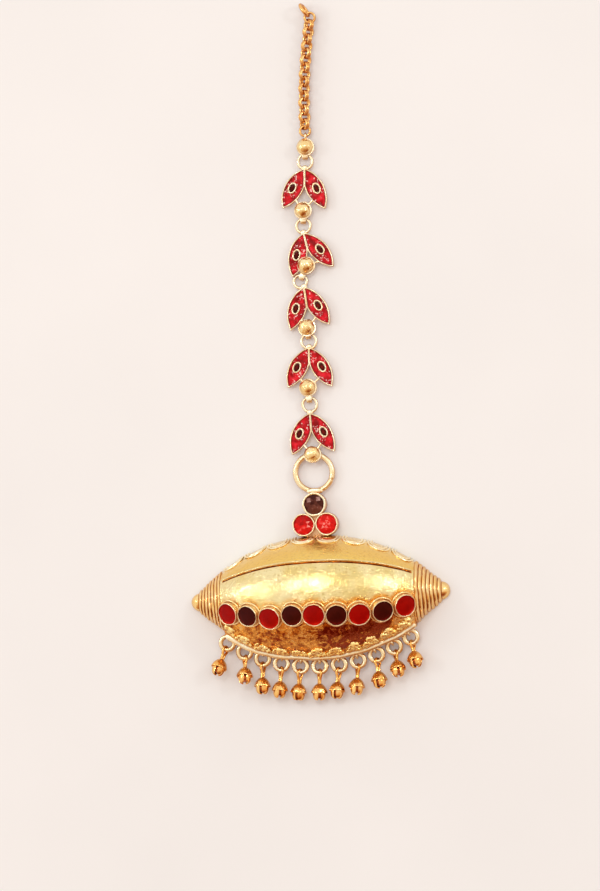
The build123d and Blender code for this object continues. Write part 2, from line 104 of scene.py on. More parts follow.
# one row for each drop: ring droop, bell swing, bell tilt up, loop twist
drop_table = [
    (6.0, -21.0, 18.0, 30.0),
    (7.0, -1.0, 22.0, -32.0),
    (5.0, -3.0, 11.0, 25.0),
    (2.0, -6.0, 7.0, -34.0),
    (-3.0, -7.0, 3.0, 33.0),
    (-6.0, -4.0, 1.0, -30.0),
    (3.0, -7.0, 9.0, 34.0),
    (4.0, -5.0, 11.0, -28.0),
    (5.0, 4.0, 13.0, 32.0),
    (7.0, 8.0, 22.0, -33.0),
    (6.0, 9.0, 17.0, 27.0),
]
# leaf links
leaf_length = 10.5
leaf_width = 4.3
leaf_rim = 0.36
leaf_bottom = 0.35
leaf_top = 1.5
eye_spot = (5.37, 0.33)
eye_lean = -3.5
link_ring_wire = 0.66
link_ring_height = 0.85
bead_disc = 2.08
bead_dome = 1.84
prong_root = (7.35, -1.65)
prong_height = 1.25
strap_slack = 0.6
big_strap_slack = 1.1
strap_play = 0.12
strap_wall = 0.25
# these three aren't the CAD model's: half the ridge between two leaves, and the half sizes of an
# eye's rim and of its stone
ridge_half = 0.275
eye_rim = (0.8, 1.23)
eye_inner = (0.62, 1.04)
# one row for each link: apex x, apex y, turn, splay of the leaves, ring dx, ring dy,
# ring mean radius, bead dx, bead dy, bead height, bead tilt
link_table = [
    (-3.55, 42.07, -1.0, 28.1, 0.0, 1.55, 1.65, -0.2, -9.74, 1.3, 0.0),
    (-3.81, 27.17, 13.7, 27.9, 0.3, 1.6, 1.62, -1.15, -7.5, 1.45, 0.0),
    (-3.72, 14.67, 8.5, 25.7, -0.68, 1.4, 1.5, -0.65, -9.5, 1.3, -10.0),
    (-2.58, 0.7, 1.6, 29.2, 0.0, 1.43, 1.68, -0.42, -9.27, 1.3, 0.0),
    (-2.35, -14.43, 4.8, 27.9, 0.1, 1.9, 1.65, -0.08, -9.74, 1.75, -25.0),
]
# chain
top_bead_centre = (-3.35, 46.97, 1.3)
eyelet_reach = 2.45
eyelet_height = 1.35
chain_route = [
    (-3.46, 50.57, 1.35),
    (-3.75, 57.07, 1.4),
    (-3.6, 64.07, 1.4),
    (-3.05, 71.07, 1.45),
    (-2.42, 76.47, 1.6),
]
end_ring_centre = (-3.55, 78.57, 2.0)
end_ring_mean = 1.52
end_ring_wire = 0.85
end_ring_lean = 35.5
end_ring_tip = 82.0


# ==== Points, places and shapes ====
def unit(vector):
    vector = np.asarray(vector, float)
    return vector / np.linalg.norm(vector)


def turned(vector, axis, angle):
    """A vector turned about an axis by an angle in degrees."""
    vector, axis, angle = np.asarray(vector, float), unit(axis), radians(angle)
    return (
        vector * cos(angle)
        + np.cross(axis, vector) * sin(angle)
        + axis * np.dot(axis, vector) * (1 - cos(angle))
    )


class Place:
    """A local frame in millimetres: an origin and its X, Y and Z axes."""

    def __init__(self, origin, x_axis, z_axis):
        self.origin = np.array(origin, float)
        self.z = unit(z_axis)
        self.x = unit(np.asarray(x_axis, float) - np.dot(x_axis, self.z) * self.z)
        self.y = np.cross(self.z, self.x)

    def way(self, x, y, z):
        return x * self.x + y * self.y + z * self.z

    def points(self, local):
        local = np.asarray(local, float)
        return self.origin + local @ np.array([self.x, self.y, self.z])

    def inside(self, x, y, z, x_axis=(1, 0, 0), z_axis=(0, 0, 1)):
        """Another place, given in this one's own terms."""
        return Place(self.points((x, y, z)), self.way(*x_axis), self.way(*z_axis))


def flat_place(x, y, z, turn):
    return Place((x, y, z), (cos(radians(turn)), sin(radians(turn)), 0), UP)


def box_centre(node):
    low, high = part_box(node)
    return np.array((low + high) / 2) / MM


def ripple(points, wavelength, seed, waves=28):
    """A smooth uneven height of about -1 to 1 over points, the same at every run."""
    chance = np.random.default_rng(seed)
    ways = chance.normal(size=(waves, 3))
    ways *= tau / wavelength / np.linalg.norm(ways, axis=1, keepdims=True)
    ways *= chance.uniform(0.6, 1.5, size=(waves, 1))
    phases = chance.uniform(0, tau, waves)
    return np.cos(points @ ways.T + phases).sum(-1) * sqrt(2 / waves) * 0.6


def smooth_step(low, high, value):
    """0 at low and 1 at high, smooth between them and level past them."""
    share = np.clip((value - low) / (high - low), 0, 1)
    return share * share * (3 - 2 * share)


def hump(value, middle, width, power=2):
    """1 at the middle and falling to 0 on both sides, more squarely for a higher power."""
    return np.exp(-(((value - middle) / width) ** power))


def columns(*parts):
    """Points whose coordinates are given side by side."""
    return np.stack(np.broadcast_arrays(*parts), axis=-1)


def arc(radius, turn, height=0.0):
    """Points round Z, at angles in radians."""
    return columns(radius * np.cos(turn), radius * np.sin(turn), height)


def with_height(points, height):
    return np.column_stack([points, np.broadcast_to(height, len(points))])


# how far up a face looks, as its normal's Z, where its painted shade is full and where it ends
painted_shade_span = (0.2, 0.78)


class Shape:
    """Faces gathered for one piece."""

    def __init__(self):
        self.blocks = []
        self.faces = []
        self.tints = []
        self.count = 0

    def add(self, points, faces, tint=0.0):
        points = np.asarray(points, float).reshape(-1, 3)
        self.blocks.append(points)
        self.faces.extend([[corner + self.count for corner in face] for face in faces])
        self.tints.append(np.broadcast_to(np.asarray(tint, float).ravel(), len(points)))
        self.count += len(points)

    def grid(self, points, around=False, along=False, tint=0.0):
        """Quads through rows of points. around joins each row's ends, along the last row and first."""
        points = np.asarray(points, float)
        rows, columns = points.shape[:2]
        index = np.arange(rows * columns).reshape(rows, columns)
        if around:
            index = np.concatenate([index, index[:, :1]], axis=1)
        if along:
            index = np.concatenate([index, index[:1]], axis=0)
        quads = np.stack([index[:-1, :-1], index[:-1, 1:], index[1:, 1:], index[1:, :-1]], axis=-1)
        self.add(points, quads.reshape(-1, 4).tolist(), tint)

    def cap(self, ring, tint=0.0):
        self.add(ring, [list(range(len(ring)))], tint)

    def lathe(self, place, profile, steps=48, tint=0.0, wobble=None):
        """Turns (radius, height) points about a place's Z. wobble gives each point a radius change."""
        profile = np.asarray(profile, float)
        turn = np.arange(steps) * tau / steps
        radius = profile[:, :1] + np.zeros((1, steps))
        height = profile[:, 1:2] + np.zeros((1, steps))
        if wobble is not None:
            radius = radius + np.where(radius > 1e-6, wobble(turn[None, :], height), 0)
        self.grid(place.points(arc(radius, turn, height)), around=True, tint=tint)

    def wire(self, path, radius, sides=12, closed=False, up=None, flat=1.0):
        """A round wire along a path, or a flattened one where flat is under 1 across its up side."""
        path = np.asarray(path, float)
        if closed:
            tangents = np.roll(path, -1, axis=0) - np.roll(path, 1, axis=0)
        else:
            tangents = np.gradient(path, axis=0)
        radius = np.broadcast_to(radius, len(path))
        side = np.cross(tangents[0], UP if up is None else up)
        if np.linalg.norm(side) < 1e-6:
            side = np.cross(tangents[0], (1.0, 0.0, 0.0))
        turn = np.arange(sides) * tau / sides
        rings = []
        for spot, tangent, size in zip(path, tangents, radius):
            tangent = unit(tangent)
            side = np.cross(tangent, up) if up is not None else side
            side = unit(side - np.dot(side, tangent) * tangent)
            other = np.cross(side, tangent)
            rings.append(
                spot
                + size * np.outer(np.cos(turn), side)
                + size * flat * np.outer(np.sin(turn), other)
            )
        self.grid(rings, around=True, along=closed)
        if not closed:
            self.cap(rings[0])
            self.cap(rings[-1])

    def ring(self, place, mean, wire_radius, steps=56, sides=14, gap=0.0, start=0.0, uneven=0.0, seed=0):
        """A wire ring in a place's XY plane, with an open gap in degrees at its start angle."""
        if gap:
            turn = radians(start) + np.linspace(radians(gap) / 2, tau - radians(gap) / 2, steps)
        else:
            turn = radians(start) + np.arange(steps) * tau / steps
        radius = mean + uneven * ripple(arc(1.0, turn), 1.6, seed)
        self.wire(place.points(arc(radius, turn)), wire_radius, sides, closed=not gap, up=place.z)

    def piece(self, name, finish, slot, replaces=(), sharp=40.0, painted_shade=0.0, faceted=False):
        """Writes the mesh, and ties the piece to the frame. Its shade setting adds painted shade: tint
        where a face looks aside or down, darker on the sides and underneath than on top. A faceted piece
        keeps the tint of each face."""
        points = np.concatenate(self.blocks)
        tints = np.concatenate(self.tints)
        made = bpy.data.meshes.new(name)
        made.from_pydata((points * MM).tolist(), [], self.faces)
        tint = made.attributes.new("tint", "FLOAT", "CORNER" if faceted else "POINT")
        if faceted:
            tints = tints[np.concatenate(self.faces)]
        tint.data.foreach_set("value", tints.astype(np.float32))
        shaped = bmesh.new()
        shaped.from_mesh(made)
        bmesh.ops.remove_doubles(shaped, verts=shaped.verts, dist=2e-7)
        bmesh.ops.recalc_face_normals(shaped, faces=shaped.faces)
        shaped.to_mesh(made)
        shaped.free()
        # painted shade: more tint where a face looks aside or down
        if painted_shade:
            normals = np.empty(3 * len(made.vertices), np.float32)
            made.vertices.foreach_get("normal", normals)
            tints = np.empty(len(made.vertices), np.float32)
            made.attributes["tint"].data.foreach_get("value", tints)
            tints += painted_shade * (1 - smooth_step(*painted_shade_span, normals[2::3])) * (1 - tints)
            made.attributes["tint"].data.foreach_set("value", tints.astype(np.float32))
        made.shade_smooth()
        made.set_sharp_from_angle(angle=radians(sharp))
        made.materials.append(finish)
        thing = bpy.data.objects.new(name, made)
        bpy.context.scene.collection.objects.link(thing)
        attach(thing, "root")
        if replaces:
            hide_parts(*replaces)


# ==== Finishes ====
def fill_ramp(node, stops):
    """Sets a colour ramp's stops. Each stop is a place and a number or a colour."""
    elements = node.color_ramp.elements
    while len(elements) < len(stops):
        elements.new(0.5)
    for element, (position, value) in zip(elements, stops):
        element.position = position
        element.color = (*value, 1) if isinstance(value, tuple) else (value, value, value, 1)
    return node


class Finish:
    """A material worked out by its own nodes, with its noise measured in millimetres."""

    def __init__(self, name, **sockets):
        self.material = bpy.data.materials.new(name)
        self.material.use_nodes = True
        self.tree = self.material.node_tree
        self.shader = self.fill(self.tree.nodes["Principled BSDF"], **sockets)
        spot = self.node("TexCoord").outputs["Object"]
        self.spot = self.node("Mapping", Scale=(1 / MM,) * 3, Vector=spot).outputs["Vector"]

    def put(self, source, socket):
        """Sets a socket to a plain value, or links another node's output to it."""
        if isinstance(source, (int, float, tuple)):
            socket.default_value = source
        else:
            self.tree.links.new(source, socket)

    def fill(self, node, **sockets):
        """Puts a source in each named socket of a node. A _ in a name stands for a space."""
        for name, source in sockets.items():
            self.put(source, node.inputs[name.replace("_", " ")])
        return node

    def node(self, kind, **sockets):
        return self.fill(self.tree.nodes.new("ShaderNode" + kind), **sockets)

    def noise(self, size, detail=3.0, roughness=0.5):
        """Noise whose lumps are about size millimetres wide."""
        node = self.node("TexNoise", Scale=1 / size, Detail=detail, Roughness=roughness, Vector=self.spot)
        return node.outputs["Fac"]

    def cells(self, size):
        """A random number in each of many cells about size millimetres wide."""
        cells = self.node("TexVoronoi", Scale=1 / size, Vector=self.spot)
        return self.node("SeparateColor", Color=cells.outputs["Color"]).outputs["Red"]

    def tint(self):
        node = self.node("Attribute")
        node.attribute_name = "tint"
        return node.outputs["Fac"]

    def ramp(self, factor, *stops):
        """A value or colour by factor."""
        return fill_ramp(self.node("ValToRGB", Fac=factor), stops).outputs["Color"]

    def mix(self, factor, first, second):
        node = self.node("Mix")
        node.data_type = "RGBA"
        first, second = ((*tone, 1) if isinstance(tone, tuple) else tone for tone in (first, second))
        return self.fill(node, Factor=factor, A=first, B=second).outputs["Result"]

    def sum_up(self, operation, first, second):
        """One step of arithmetic on two sources."""
        node = self.node("Math")
        node.operation = operation
        self.put(first, node.inputs[0])
        self.put(second, node.inputs[1])
        return node.outputs[0]

    def times(self, first, second):
        return self.sum_up("MULTIPLY", first, second)

    def colour(self, source):
        self.fill(self.shader, Base_Color=source)

    def rough(self, source):
        self.fill(self.shader, Roughness=source)

    def bump(self, *layers):
        """Bumps laid over each other. Each layer is a height source and its depth in millimetres."""
        normal = None
        for height, depth in layers:
            node = self.node("Bump", Distance=depth * MM, Height=height)
            if normal is not None:
                self.fill(node, Normal=normal)
            normal = node.outputs["Normal"]
        self.fill(self.shader, Normal=normal, Coat_Normal=normal)


gold_deep = (0.74, 0.38, 0.08)
# the darkest brown of the barrel's painted reflection
dark_reflection = (0.30, 0.04, 0.008)


def gold(name, low_rough, high_rough, light, deep, pits=0.012, shade_brown=(0.56, 0.18, 0.03)):
    """Bright gold plate. The tint mixes in the brown of painted shade, in its hollows and where it faces
    aside or down.
    """
    finish = Finish(name, Metallic=1.0)
    tone = finish.ramp(finish.noise(2.6, 4), (0.32, deep), (0.68, light))
    fleck = finish.ramp(finish.noise(0.28, 2), (0.30, 1.0), (0.42, 0.0))
    tone = finish.mix(finish.times(fleck, 0.35), tone, gold_deep)
    finish.colour(finish.mix(finish.tint(), tone, shade_brown))
    finish.rough(finish.ramp(finish.noise(0.9, 4), (0.3, low_rough), (0.75, high_rough)))
    finish.bump((finish.noise(0.9, 2), pits * 2), (finish.noise(0.16, 2), pits))
    return finish.material


def body_gold():
    """The barrel's thin stamped sheet. Under 0 its tint is more golden, over 0 orange, then brown: painted
    dark reflection and shade.
    """
    finish = Finish("barrel_gold", Metallic=1.0, Coat_Roughness=0.1)
    lacquer = finish.ramp(finish.tint(), (0.04, 0.8), (0.2, 0.0))
    finish.fill(finish.shader, Coat_Weight=lacquer)
    tone = finish.ramp(finish.noise(5.0, 5), (0.35, (0.83, 0.61, 0.21)), (0.62, (0.92, 0.75, 0.38)))
    tone = finish.mix(finish.times(finish.tint(), -1.0), tone, (0.88, 0.56, 0.12))
    speck = finish.ramp(finish.noise(0.42, 4, 0.65), (0.34, 1.0), (0.45, 0.0))
    tone = finish.mix(finish.times(speck, 0.75), tone, (0.66, 0.36, 0.08))
    # painted dark reflection and shade, mottled: orange, then dark brown
    mottled = finish.ramp(finish.noise(1.5, 6, 0.68), (0.36, 0.25), (0.60, 1.0))
    mottled_reflection = finish.times(finish.tint(), mottled)
    tone = finish.mix(finish.ramp(mottled_reflection, (0.0, 0.0), (0.26, 0.95)), tone, (0.88, 0.38, 0.06))
    tone = finish.mix(finish.ramp(mottled_reflection, (0.34, 0.0), (0.56, 1.0)), tone, dark_reflection)
    # dark dots, only where the painted reflection lies
    dots = finish.ramp(finish.noise(0.8, 3, 0.6), (0.345, 1.0), (0.375, 0.0))
    dots = finish.times(dots, finish.ramp(finish.tint(), (0.08, 0.0), (0.2, 0.9)))
    finish.colour(finish.mix(dots, tone, (0.34, 0.06, 0.01)))
    finish.rough(finish.ramp(finish.noise(1.1, 5), (0.3, 0.07), (0.72, 0.2)))
    crease = finish.ramp(finish.noise(2.4, 5, 0.62), (0.455, 0.0), (0.5, 1.0), (0.545, 0.0))
    crease = finish.times(crease, finish.ramp(finish.tint(), (0.0, 0.28), (0.15, 1.0)))
    dents, hammering, grain = finish.noise(1.6, 3), finish.noise(0.5, 3, 0.6), finish.noise(0.2, 2)
    finish.bump((dents, 0.11), (hammering, 0.065), (grain, 0.02), (crease, 0.05))
    return finish.material


def enamel_red():
    """Red enamel over rough metal; its pale flakes are painted glints."""
    finish = Finish("red_enamel", Roughness=0.3, Specular_IOR_Level=0.15)
    deep, middle, bright = (0.26, 0.001, 0.002), (0.55, 0.003, 0.008), (0.84, 0.015, 0.03)
    tone = finish.ramp(finish.noise(1.5, 4), (0.34, deep), (0.5, middle), (0.66, bright))
    tone = finish.mix(finish.tint(), tone, (0.20, 0.001, 0.001))
    painted_glint = finish.ramp(finish.cells(0.22), (0.74, 0.0), (0.82, 1.0))
    patch = finish.ramp(finish.noise(1.3, 2), (0.53, 0.0), (0.58, 1.0))
    finish.colour(finish.mix(finish.times(painted_glint, patch), tone, (1.0, 0.64, 0.60)))
    finish.bump((finish.noise(0.6, 3), 0.06), (finish.noise(0.18, 2), 0.02))
    return finish.material


def stone(name, dark, bright, pale, size=1.6, shine=0.06):
    """Polished glass. Its tint is painted light, running from the dark colour to the bright, and on to the
    pale.
    """
    finish = Finish(name, Roughness=0.14, Specular_IOR_Level=shine)
    mottled = finish.ramp(finish.noise(size, 3), (0.35, 0.6), (0.65, 1.0))
    tint = finish.times(finish.tint(), mottled)
    finish.colour(finish.ramp(tint, (0.0, dark), (0.5, bright), (1.0, pale)))
    finish.bump((finish.noise(1.4, 2), 0.012))
    return finish.material


# pale_gold and bright_gold are lighter copies of the one plate, painted light for the cups, rings, rims and
# wires; bell_gold is a darker, more orange copy, painted shade
wire_gold = gold("wire_gold", 0.16, 0.3, (1.0, 0.76, 0.38), (0.94, 0.60, 0.20))
pale_gold = gold("pale_gold", 0.2, 0.36, (1.0, 0.87, 0.59), (0.96, 0.73, 0.38), 0.022)
bright_gold = gold("bright_gold", 0.22, 0.38, (1.0, 0.92, 0.68), (1.0, 0.82, 0.50), 0.02)
bell_gold = gold("bell_gold", 0.07, 0.18, (1.0, 0.64, 0.23), (0.92, 0.44, 0.10), 0.02, (0.42, 0.07, 0.01))
bead_gold = gold("bead_gold", 0.12, 0.26, (1.0, 0.84, 0.48), (0.94, 0.66, 0.28), 0.03)
solder_gold = gold("solder_gold", 0.16, 0.32, (1.0, 0.80, 0.36), (1.0, 0.64, 0.18), 0.03)
chain_gold = gold("chain_gold", 0.14, 0.28, (0.98, 0.61, 0.25), (0.86, 0.43, 0.12))
barrel_gold = body_gold()
red_enamel = enamel_red()
red_glass = stone("red_glass", (0.20, 0.001, 0.001), (0.44, 0.004, 0.002), (1.0, 0.04, 0.015))
dark_glass = stone("dark_glass", (0.024, 0.002, 0.001), (0.075, 0.005, 0.003), (0.24, 0.012, 0.008))
red_gem = stone("red_gem", (0.30, 0.003, 0.002), (0.80, 0.012, 0.008), (1.0, 0.50, 0.42), 0.9, 0.1)
dark_gem = stone("dark_gem", (0.035, 0.003, 0.001), (0.17, 0.045, 0.027), (0.62, 0.40, 0.36), 0.9, 0.1)


# ==== The pendant's own frame, from its three cluster stones ====
left_cup = box_centre("cluster_stone_left")
right_cup = box_centre("cluster_stone_right")
pendant_turn = degrees(atan2(right_cup[1] - left_cup[1], right_cup[0] - left_cup[0]))
pendant_flat = flat_place(0, 0, 0, pendant_turn)
cluster_middle = (left_cup + right_cup) / 2
pendant_origin = cluster_middle - pendant_flat.way(cluster_x, cluster_red_y, 0)
pendant = flat_place(pendant_origin[0], pendant_origin[1], 0, pendant_turn)


def outline_height(x):
    """The barrel's radius at a distance from its middle."""
    return np.sqrt(outline_radius**2 - np.asarray(x, float) ** 2) - outline_drop


def barrel_points(x, around, lift=0.0):
    """Points over the barrel at a lift along its normal. around is in radians from straight up."""
    lean = np.asarray(x) / outline_radius
    radius = outline_height(x) + lift * np.sqrt(1 - lean**2)
    return columns(x + lift * lean, radius * np.sin(around), radius * np.cos(around))


def barrel_place(along, around, lift=0.0):
    """A place on the barrel, with X along it and Z outwards."""
    along, around = radians(along), radians(around)
    out = (sin(along), cos(along) * sin(around), cos(along) * cos(around))
    spot = barrel_points(outline_radius * sin(along), around)
    tangent = (cos(along), -sin(along) * sin(around), -sin(along) * cos(around))
    return pendant.inside(*(spot + lift * np.array(out)), x_axis=tangent, z_axis=out)


# the seam's angle round the barrel at its middle, its rise towards the ends, and its half length
seam_middle = 34.4
seam_rise = 4.2
seam_half = 22.0
# how far the fine rows of the sheet reach either side of the seam
seam_reach = 1.0
# the groove and the lip of the seam: the middle, measured up from the seam, and the width
seam_groove = (-0.15, 0.13)
seam_lip = (0.26, 0.22)
# the strip at each end of the sheet that has finer columns
sheet_end = 0.9


def cup_foot(cup):
    """Where a cup of the row stands, as x and an angle in radians."""
    return outline_radius * sin(radians(cup[0])), radians(cup[1])


# small pits in the sheet: along the barrel, angle round it, radius, depth
pit_table = [
    (7.6, 47.0, 0.22, 0.14),
    (-11.6, 50.0, 0.18, 0.08),
    (-16.4, 12.0, 0.2, 0.07),
    (12.9, -9.0, 0.2, 0.08),
    (3.6, 2.5, 0.22, 0.09),
    (-5.4, -3.0, 0.18, 0.07),
]


def rim_sag(x):
    """How far the lower edge and its wire hang below the even outline, mostly at the left."""
    return 1.05 * smooth_step(3, 18, -np.asarray(x)) + 0.6 * smooth_step(13, 22, np.asarray(x))


def sheet_sag(x, around):
    """How far the sheet itself hangs, from none under the row of cups to most at its lower edge."""
    return 0.95 * rim_sag(x) * smooth_step(-30, -72, np.degrees(around))


def sheet_tint(x, around, above, seamed):
    """Painted dark reflection and shade: brown under the row, round its cups and in the seam's groove. Gold
    above the seam.
    """
    tilt = np.degrees(around)
    spots = barrel_points(x, around)
    below = smooth_step(-25, -33, tilt) * (1 - smooth_step(-56, -66, tilt))
    reflection_shade = below * (0.50 + 0.14 * hump(x, -10, 4) + 0.6 * smooth_step(-1, 4, x))
    reflection_shade *= 1 - 0.8 * smooth_step(15.5, 18.0, x)
    reflection_shade += 0.42 * smooth_step(-56, -63, tilt)
    feet = [np.linalg.norm(spots - barrel_points(*cup_foot(cup)), axis=-1) for cup in row_table]
    foot = np.min(feet, axis=0)
    halo = 0.42 * smooth_step(4.3, 2.9, foot) * (0.4 + 0.6 * smooth_step(-8, 0, x))
    under = 0.75 * smooth_step(3.9, 3.0, foot) * smooth_step(-21, -27, tilt)
    reflection_shade = np.maximum(np.maximum(reflection_shade, halo), under)
    groove = 1.8 * seamed * hump(above, *seam_groove, 4)
    golden = -0.95 * smooth_step(0.2, 0.9, above)
    return reflection_shade + groove + golden


def barrel_sheet():
    """The barrel between its cones, with the seam, the panel's raised ends and the flat back."""
    inner_half = barrel_half - sheet_end
    end_steps = np.linspace(0, sheet_end, 15)[1:]
    middle_steps = np.linspace(-inner_half, inner_half, 250)
    x = np.concatenate([-inner_half - end_steps[::-1], middle_steps, inner_half + end_steps])
    seam = radians(seam_middle) + radians(seam_rise) * (x / barrel_half) ** 2
    reach = seam_reach / outline_height(x)
    lower = -pi / 2 + (seam - reach + pi / 2) * np.linspace(0, 1, 96)[:, None]
    middle = seam + reach * np.linspace(-1, 1, 38)[1:-1, None]
    upper = seam + reach + (pi / 2 - seam - reach) * np.linspace(0, 1, 46)[:, None]
    around = np.concatenate([lower, middle, upper])
    x = np.broadcast_to(x, around.shape)
    above = (around - seam) * outline_height(x)
    spots = barrel_points(x, around)

    lift = 0.045 * ripple(spots, 9.0, 1) + 0.014 * ripple(spots, 3.2, 2) + 0.008 * ripple(spots, 1.5, 3)
    seamed = 1 - smooth_step(seam_half - 0.3, seam_half, np.abs(x))
    lift -= 0.36 * seamed * hump(above, *seam_groove)
    lift += 0.32 * seamed * hump(above, *seam_lip, 4)
    lift += sheet_sag(x, around) * seamed
    panel_end = hump(np.abs(x) - barrel_half, -0.3, 0.16, 4)
    lift += 0.2 * panel_end * smooth_step(0.5, 0.2, above)
    for pit_x, pit_around, size, depth in pit_table:
        centre = barrel_points(pit_x, radians(pit_around))
        lift -= depth * hump(np.linalg.norm(spots - centre, axis=-1), 0, size)

    shape = Shape()
    tint = sheet_tint(x, around, above, seamed)
    shape.grid(pendant.points(barrel_points(x, around, lift)), tint=tint)
    foot, head = (pendant.points(barrel_points(x[row], around[row], lift[row])) for row in (0, -1))
    shape.grid([foot, head])
    for column in (0, -1):
        shape.cap(pendant.points(barrel_points(x[:, column], around[:, column], lift[:, column])))
    return shape


def cone(shape, side):
    """One ribbed cone and its rounded tip."""
    run = (cone_end - barrel_half) / rib_count
    wide, narrow = float(outline_height(barrel_half)), cone_end_radius
    fall = (wide - narrow) / rib_count
    steps = 11
    profile = [(barrel_half - 0.15, wide + 0.02)]
    # painted shade in the valleys between the ribs, as tint; none on the tip
    valley_shade = [0.5]
    for rib in range(rib_count):
        for step in range(steps):
            share = step / steps
            swell = sin(pi * share) ** 0.6
            radius = wide - (rib + share) * fall + rib_height * 1.35 * swell
            profile.append((barrel_half + (rib + share) * run, radius))
            valley_shade.append(0.9 * (1 - swell) ** 1.5)
    tip_centre = (tip_half**2 - cone_end**2 - narrow**2) / (2 * (tip_half - cone_end))
    tip_radius = tip_half - tip_centre
    profile.append((cone_end, narrow - 0.12))
    valley_shade.append(0.9)
    widest = acos((cone_end + 0.1 - tip_centre) / tip_radius)
    for step in range(13):
        turn = widest * (1 - step / 12)
        profile.append((tip_centre + tip_radius * cos(turn), tip_radius * sin(turn)))
        valley_shade.append(0.0)
    profile = np.array(profile)
    around = np.linspace(-pi / 2, pi / 2, 84)
    x = side * profile[:, :1] + np.zeros((1, len(around)))
    radius = profile[:, 1:] + np.zeros((1, len(around)))
    local = columns(x, radius * np.sin(around), radius * np.cos(around))
    slack = np.minimum(1.0, radius / 1.5) * smooth_step(tip_half, tip_half - 0.6, np.abs(x))
    local[..., 0] += 0.07 * slack * ripple(local, 6.0, 11)
    swell = 1 + 0.02 * slack * ripple(local, 2.6, 12)
    local[..., 1] *= swell
    local[..., 2] *= swell
    shape.grid(pendant.points(local), tint=np.repeat(valley_shade, len(around)))
    shape.grid(pendant.points(np.stack([local[:, 0], local[:, -1]])))
    shape.cap(pendant.points(local[0]))


scallop_count = 8
scallop_pitch = 8.7
scallop_around = 77.0
scallop_radii = (2.56, 1.86)
scallop_leg = (2.4, 0.2)
scallop_wire = 0.21


def scallop_wires():
    """Pairs of U-shaped wires along the top edge, pressed into the sheet."""
    shape = Shape()
    for index in range(scallop_count):
        step = index - (scallop_count - 1) / 2
        around = scallop_around - 5.5 * cos(step * pi / scallop_count) ** 2
        place = barrel_place(step * scallop_pitch, around)
        for size in scallop_radii:
            turn = np.linspace(0, pi, 34)
            bend = columns(size * np.cos(turn), -size * np.sin(turn))
            leg = columns(size, np.linspace(*scallop_leg, 9))
            flat = np.concatenate([leg, bend, leg[::-1] * (-1, 1)])
            spots = place.points(with_height(flat, 0)) - pendant.origin
            local = spots @ np.array([pendant.x, pendant.y, pendant.z]).T
            around = np.arctan2(local[:, 1], local[:, 2])
            kept = around < radians(88.5)
            path = barrel_points(local[kept, 0], around[kept], 0.12)
            path = path + 0.03 * columns(*(ripple(path, 2.4, seed) for seed in (21, 22, 23)))
            shape.wire(pendant.points(path), scallop_wire, 8)
    return shape


def drop_along(index):
    """How far along the barrel's outline one drop is, in radians."""
    return radians((index - (len(drop_table) - 1) / 2) * drop_pitch + fringe_turn)


def drop_outward(index):
    """The level direction straight out of the barrel's edge at one drop."""
    along = drop_along(index)
    return pendant.way(sin(along), -cos(along), 0)


def drop_root(index):
    """The centre of the rim loop that carries one drop."""
    centre = pendant.points((0, outline_drop, loop_height))
    return centre + drop_outward(index) * (outline_radius + ring_offset - ring_mean)


# the rim wire's middle over the CAD model's, its distance from the sheet, and its half width and shape
rim_lift = 0.55
rim_gap = 0.38
rim_wire = 0.7
rim_flat = 0.55
rim_loop = 0.75
rim_loop_wire = 0.25


def rim():
    """The wire along the lower edge, and the loops under it."""
    shape = Shape()
    x = np.linspace(-rim_half, rim_half, 150)
    z = np.full_like(x, rim_height + rim_lift)
    path = columns(x, -(np.sqrt(outline_height(x) ** 2 - z**2) + rim_gap + rim_sag(x)), z)
    path[:, 1:] += 0.04 * columns(ripple(path, 4.0, 31), ripple(path, 5.0, 40))
    ends = np.minimum(1, 0.6 + (rim_half - np.abs(x)) * 2)
    shape.wire(pendant.points(path), rim_wire * ends, 24, up=UP, flat=rim_flat)
    for index in range(len(drop_table)):
        place = Place(drop_root(index), UP, np.cross(drop_outward(index), UP))
        shape.ring(place, rim_loop, rim_loop_wire, 28, 10, uneven=0.02, seed=index)
    return shape


# one row for each line of a heap: how far up the sheet it lies from the rim, and its lumps
heap_table = [
    (1.7, 4),
    (2.7, 3),
    (3.8, 2),
]
lump_pitch = 0.9


def solder_heaps():
    """Heaps of melted lumps over the loops, from their soldering. The middle loop and the four to
    its right have a third line."""
    chance = np.random.default_rng(8)
    shape = Shape()
    turn = np.linspace(0, pi, 9)
    ball = columns(np.sin(turn), -np.cos(turn))

    def melted(angle, height):
        return 0.16 * np.sin(2 * angle + 3 * height + step)

    for index in range(len(drop_table)):
        middle = outline_radius * sin(drop_along(index))
        for rise, count in heap_table[: 3 if 4 < index < 10 else 2]:
            for step in range(count):
                x = middle + (step - (count - 1) / 2) * lump_pitch + chance.uniform(-0.25, 0.25)
                rise_here = rise + chance.uniform(-0.25, 0.25)
                size = chance.uniform(0.5, 1.0)
                if abs(x) > rim_half - 0.8:
                    continue
                radius = float(outline_height(x))
                around = rise_here / radius - acos((rim_height + rim_lift) / radius)
                spot = pendant.points(barrel_points(x, around, sheet_sag(x, around) + 0.05))
                shape.lathe(Place(spot, pendant.x, UP), ball * (size, size * 0.8), 16, wobble=melted)
    return shape


# how far a cup's floor lies under its lip
cup_depth = 0.75


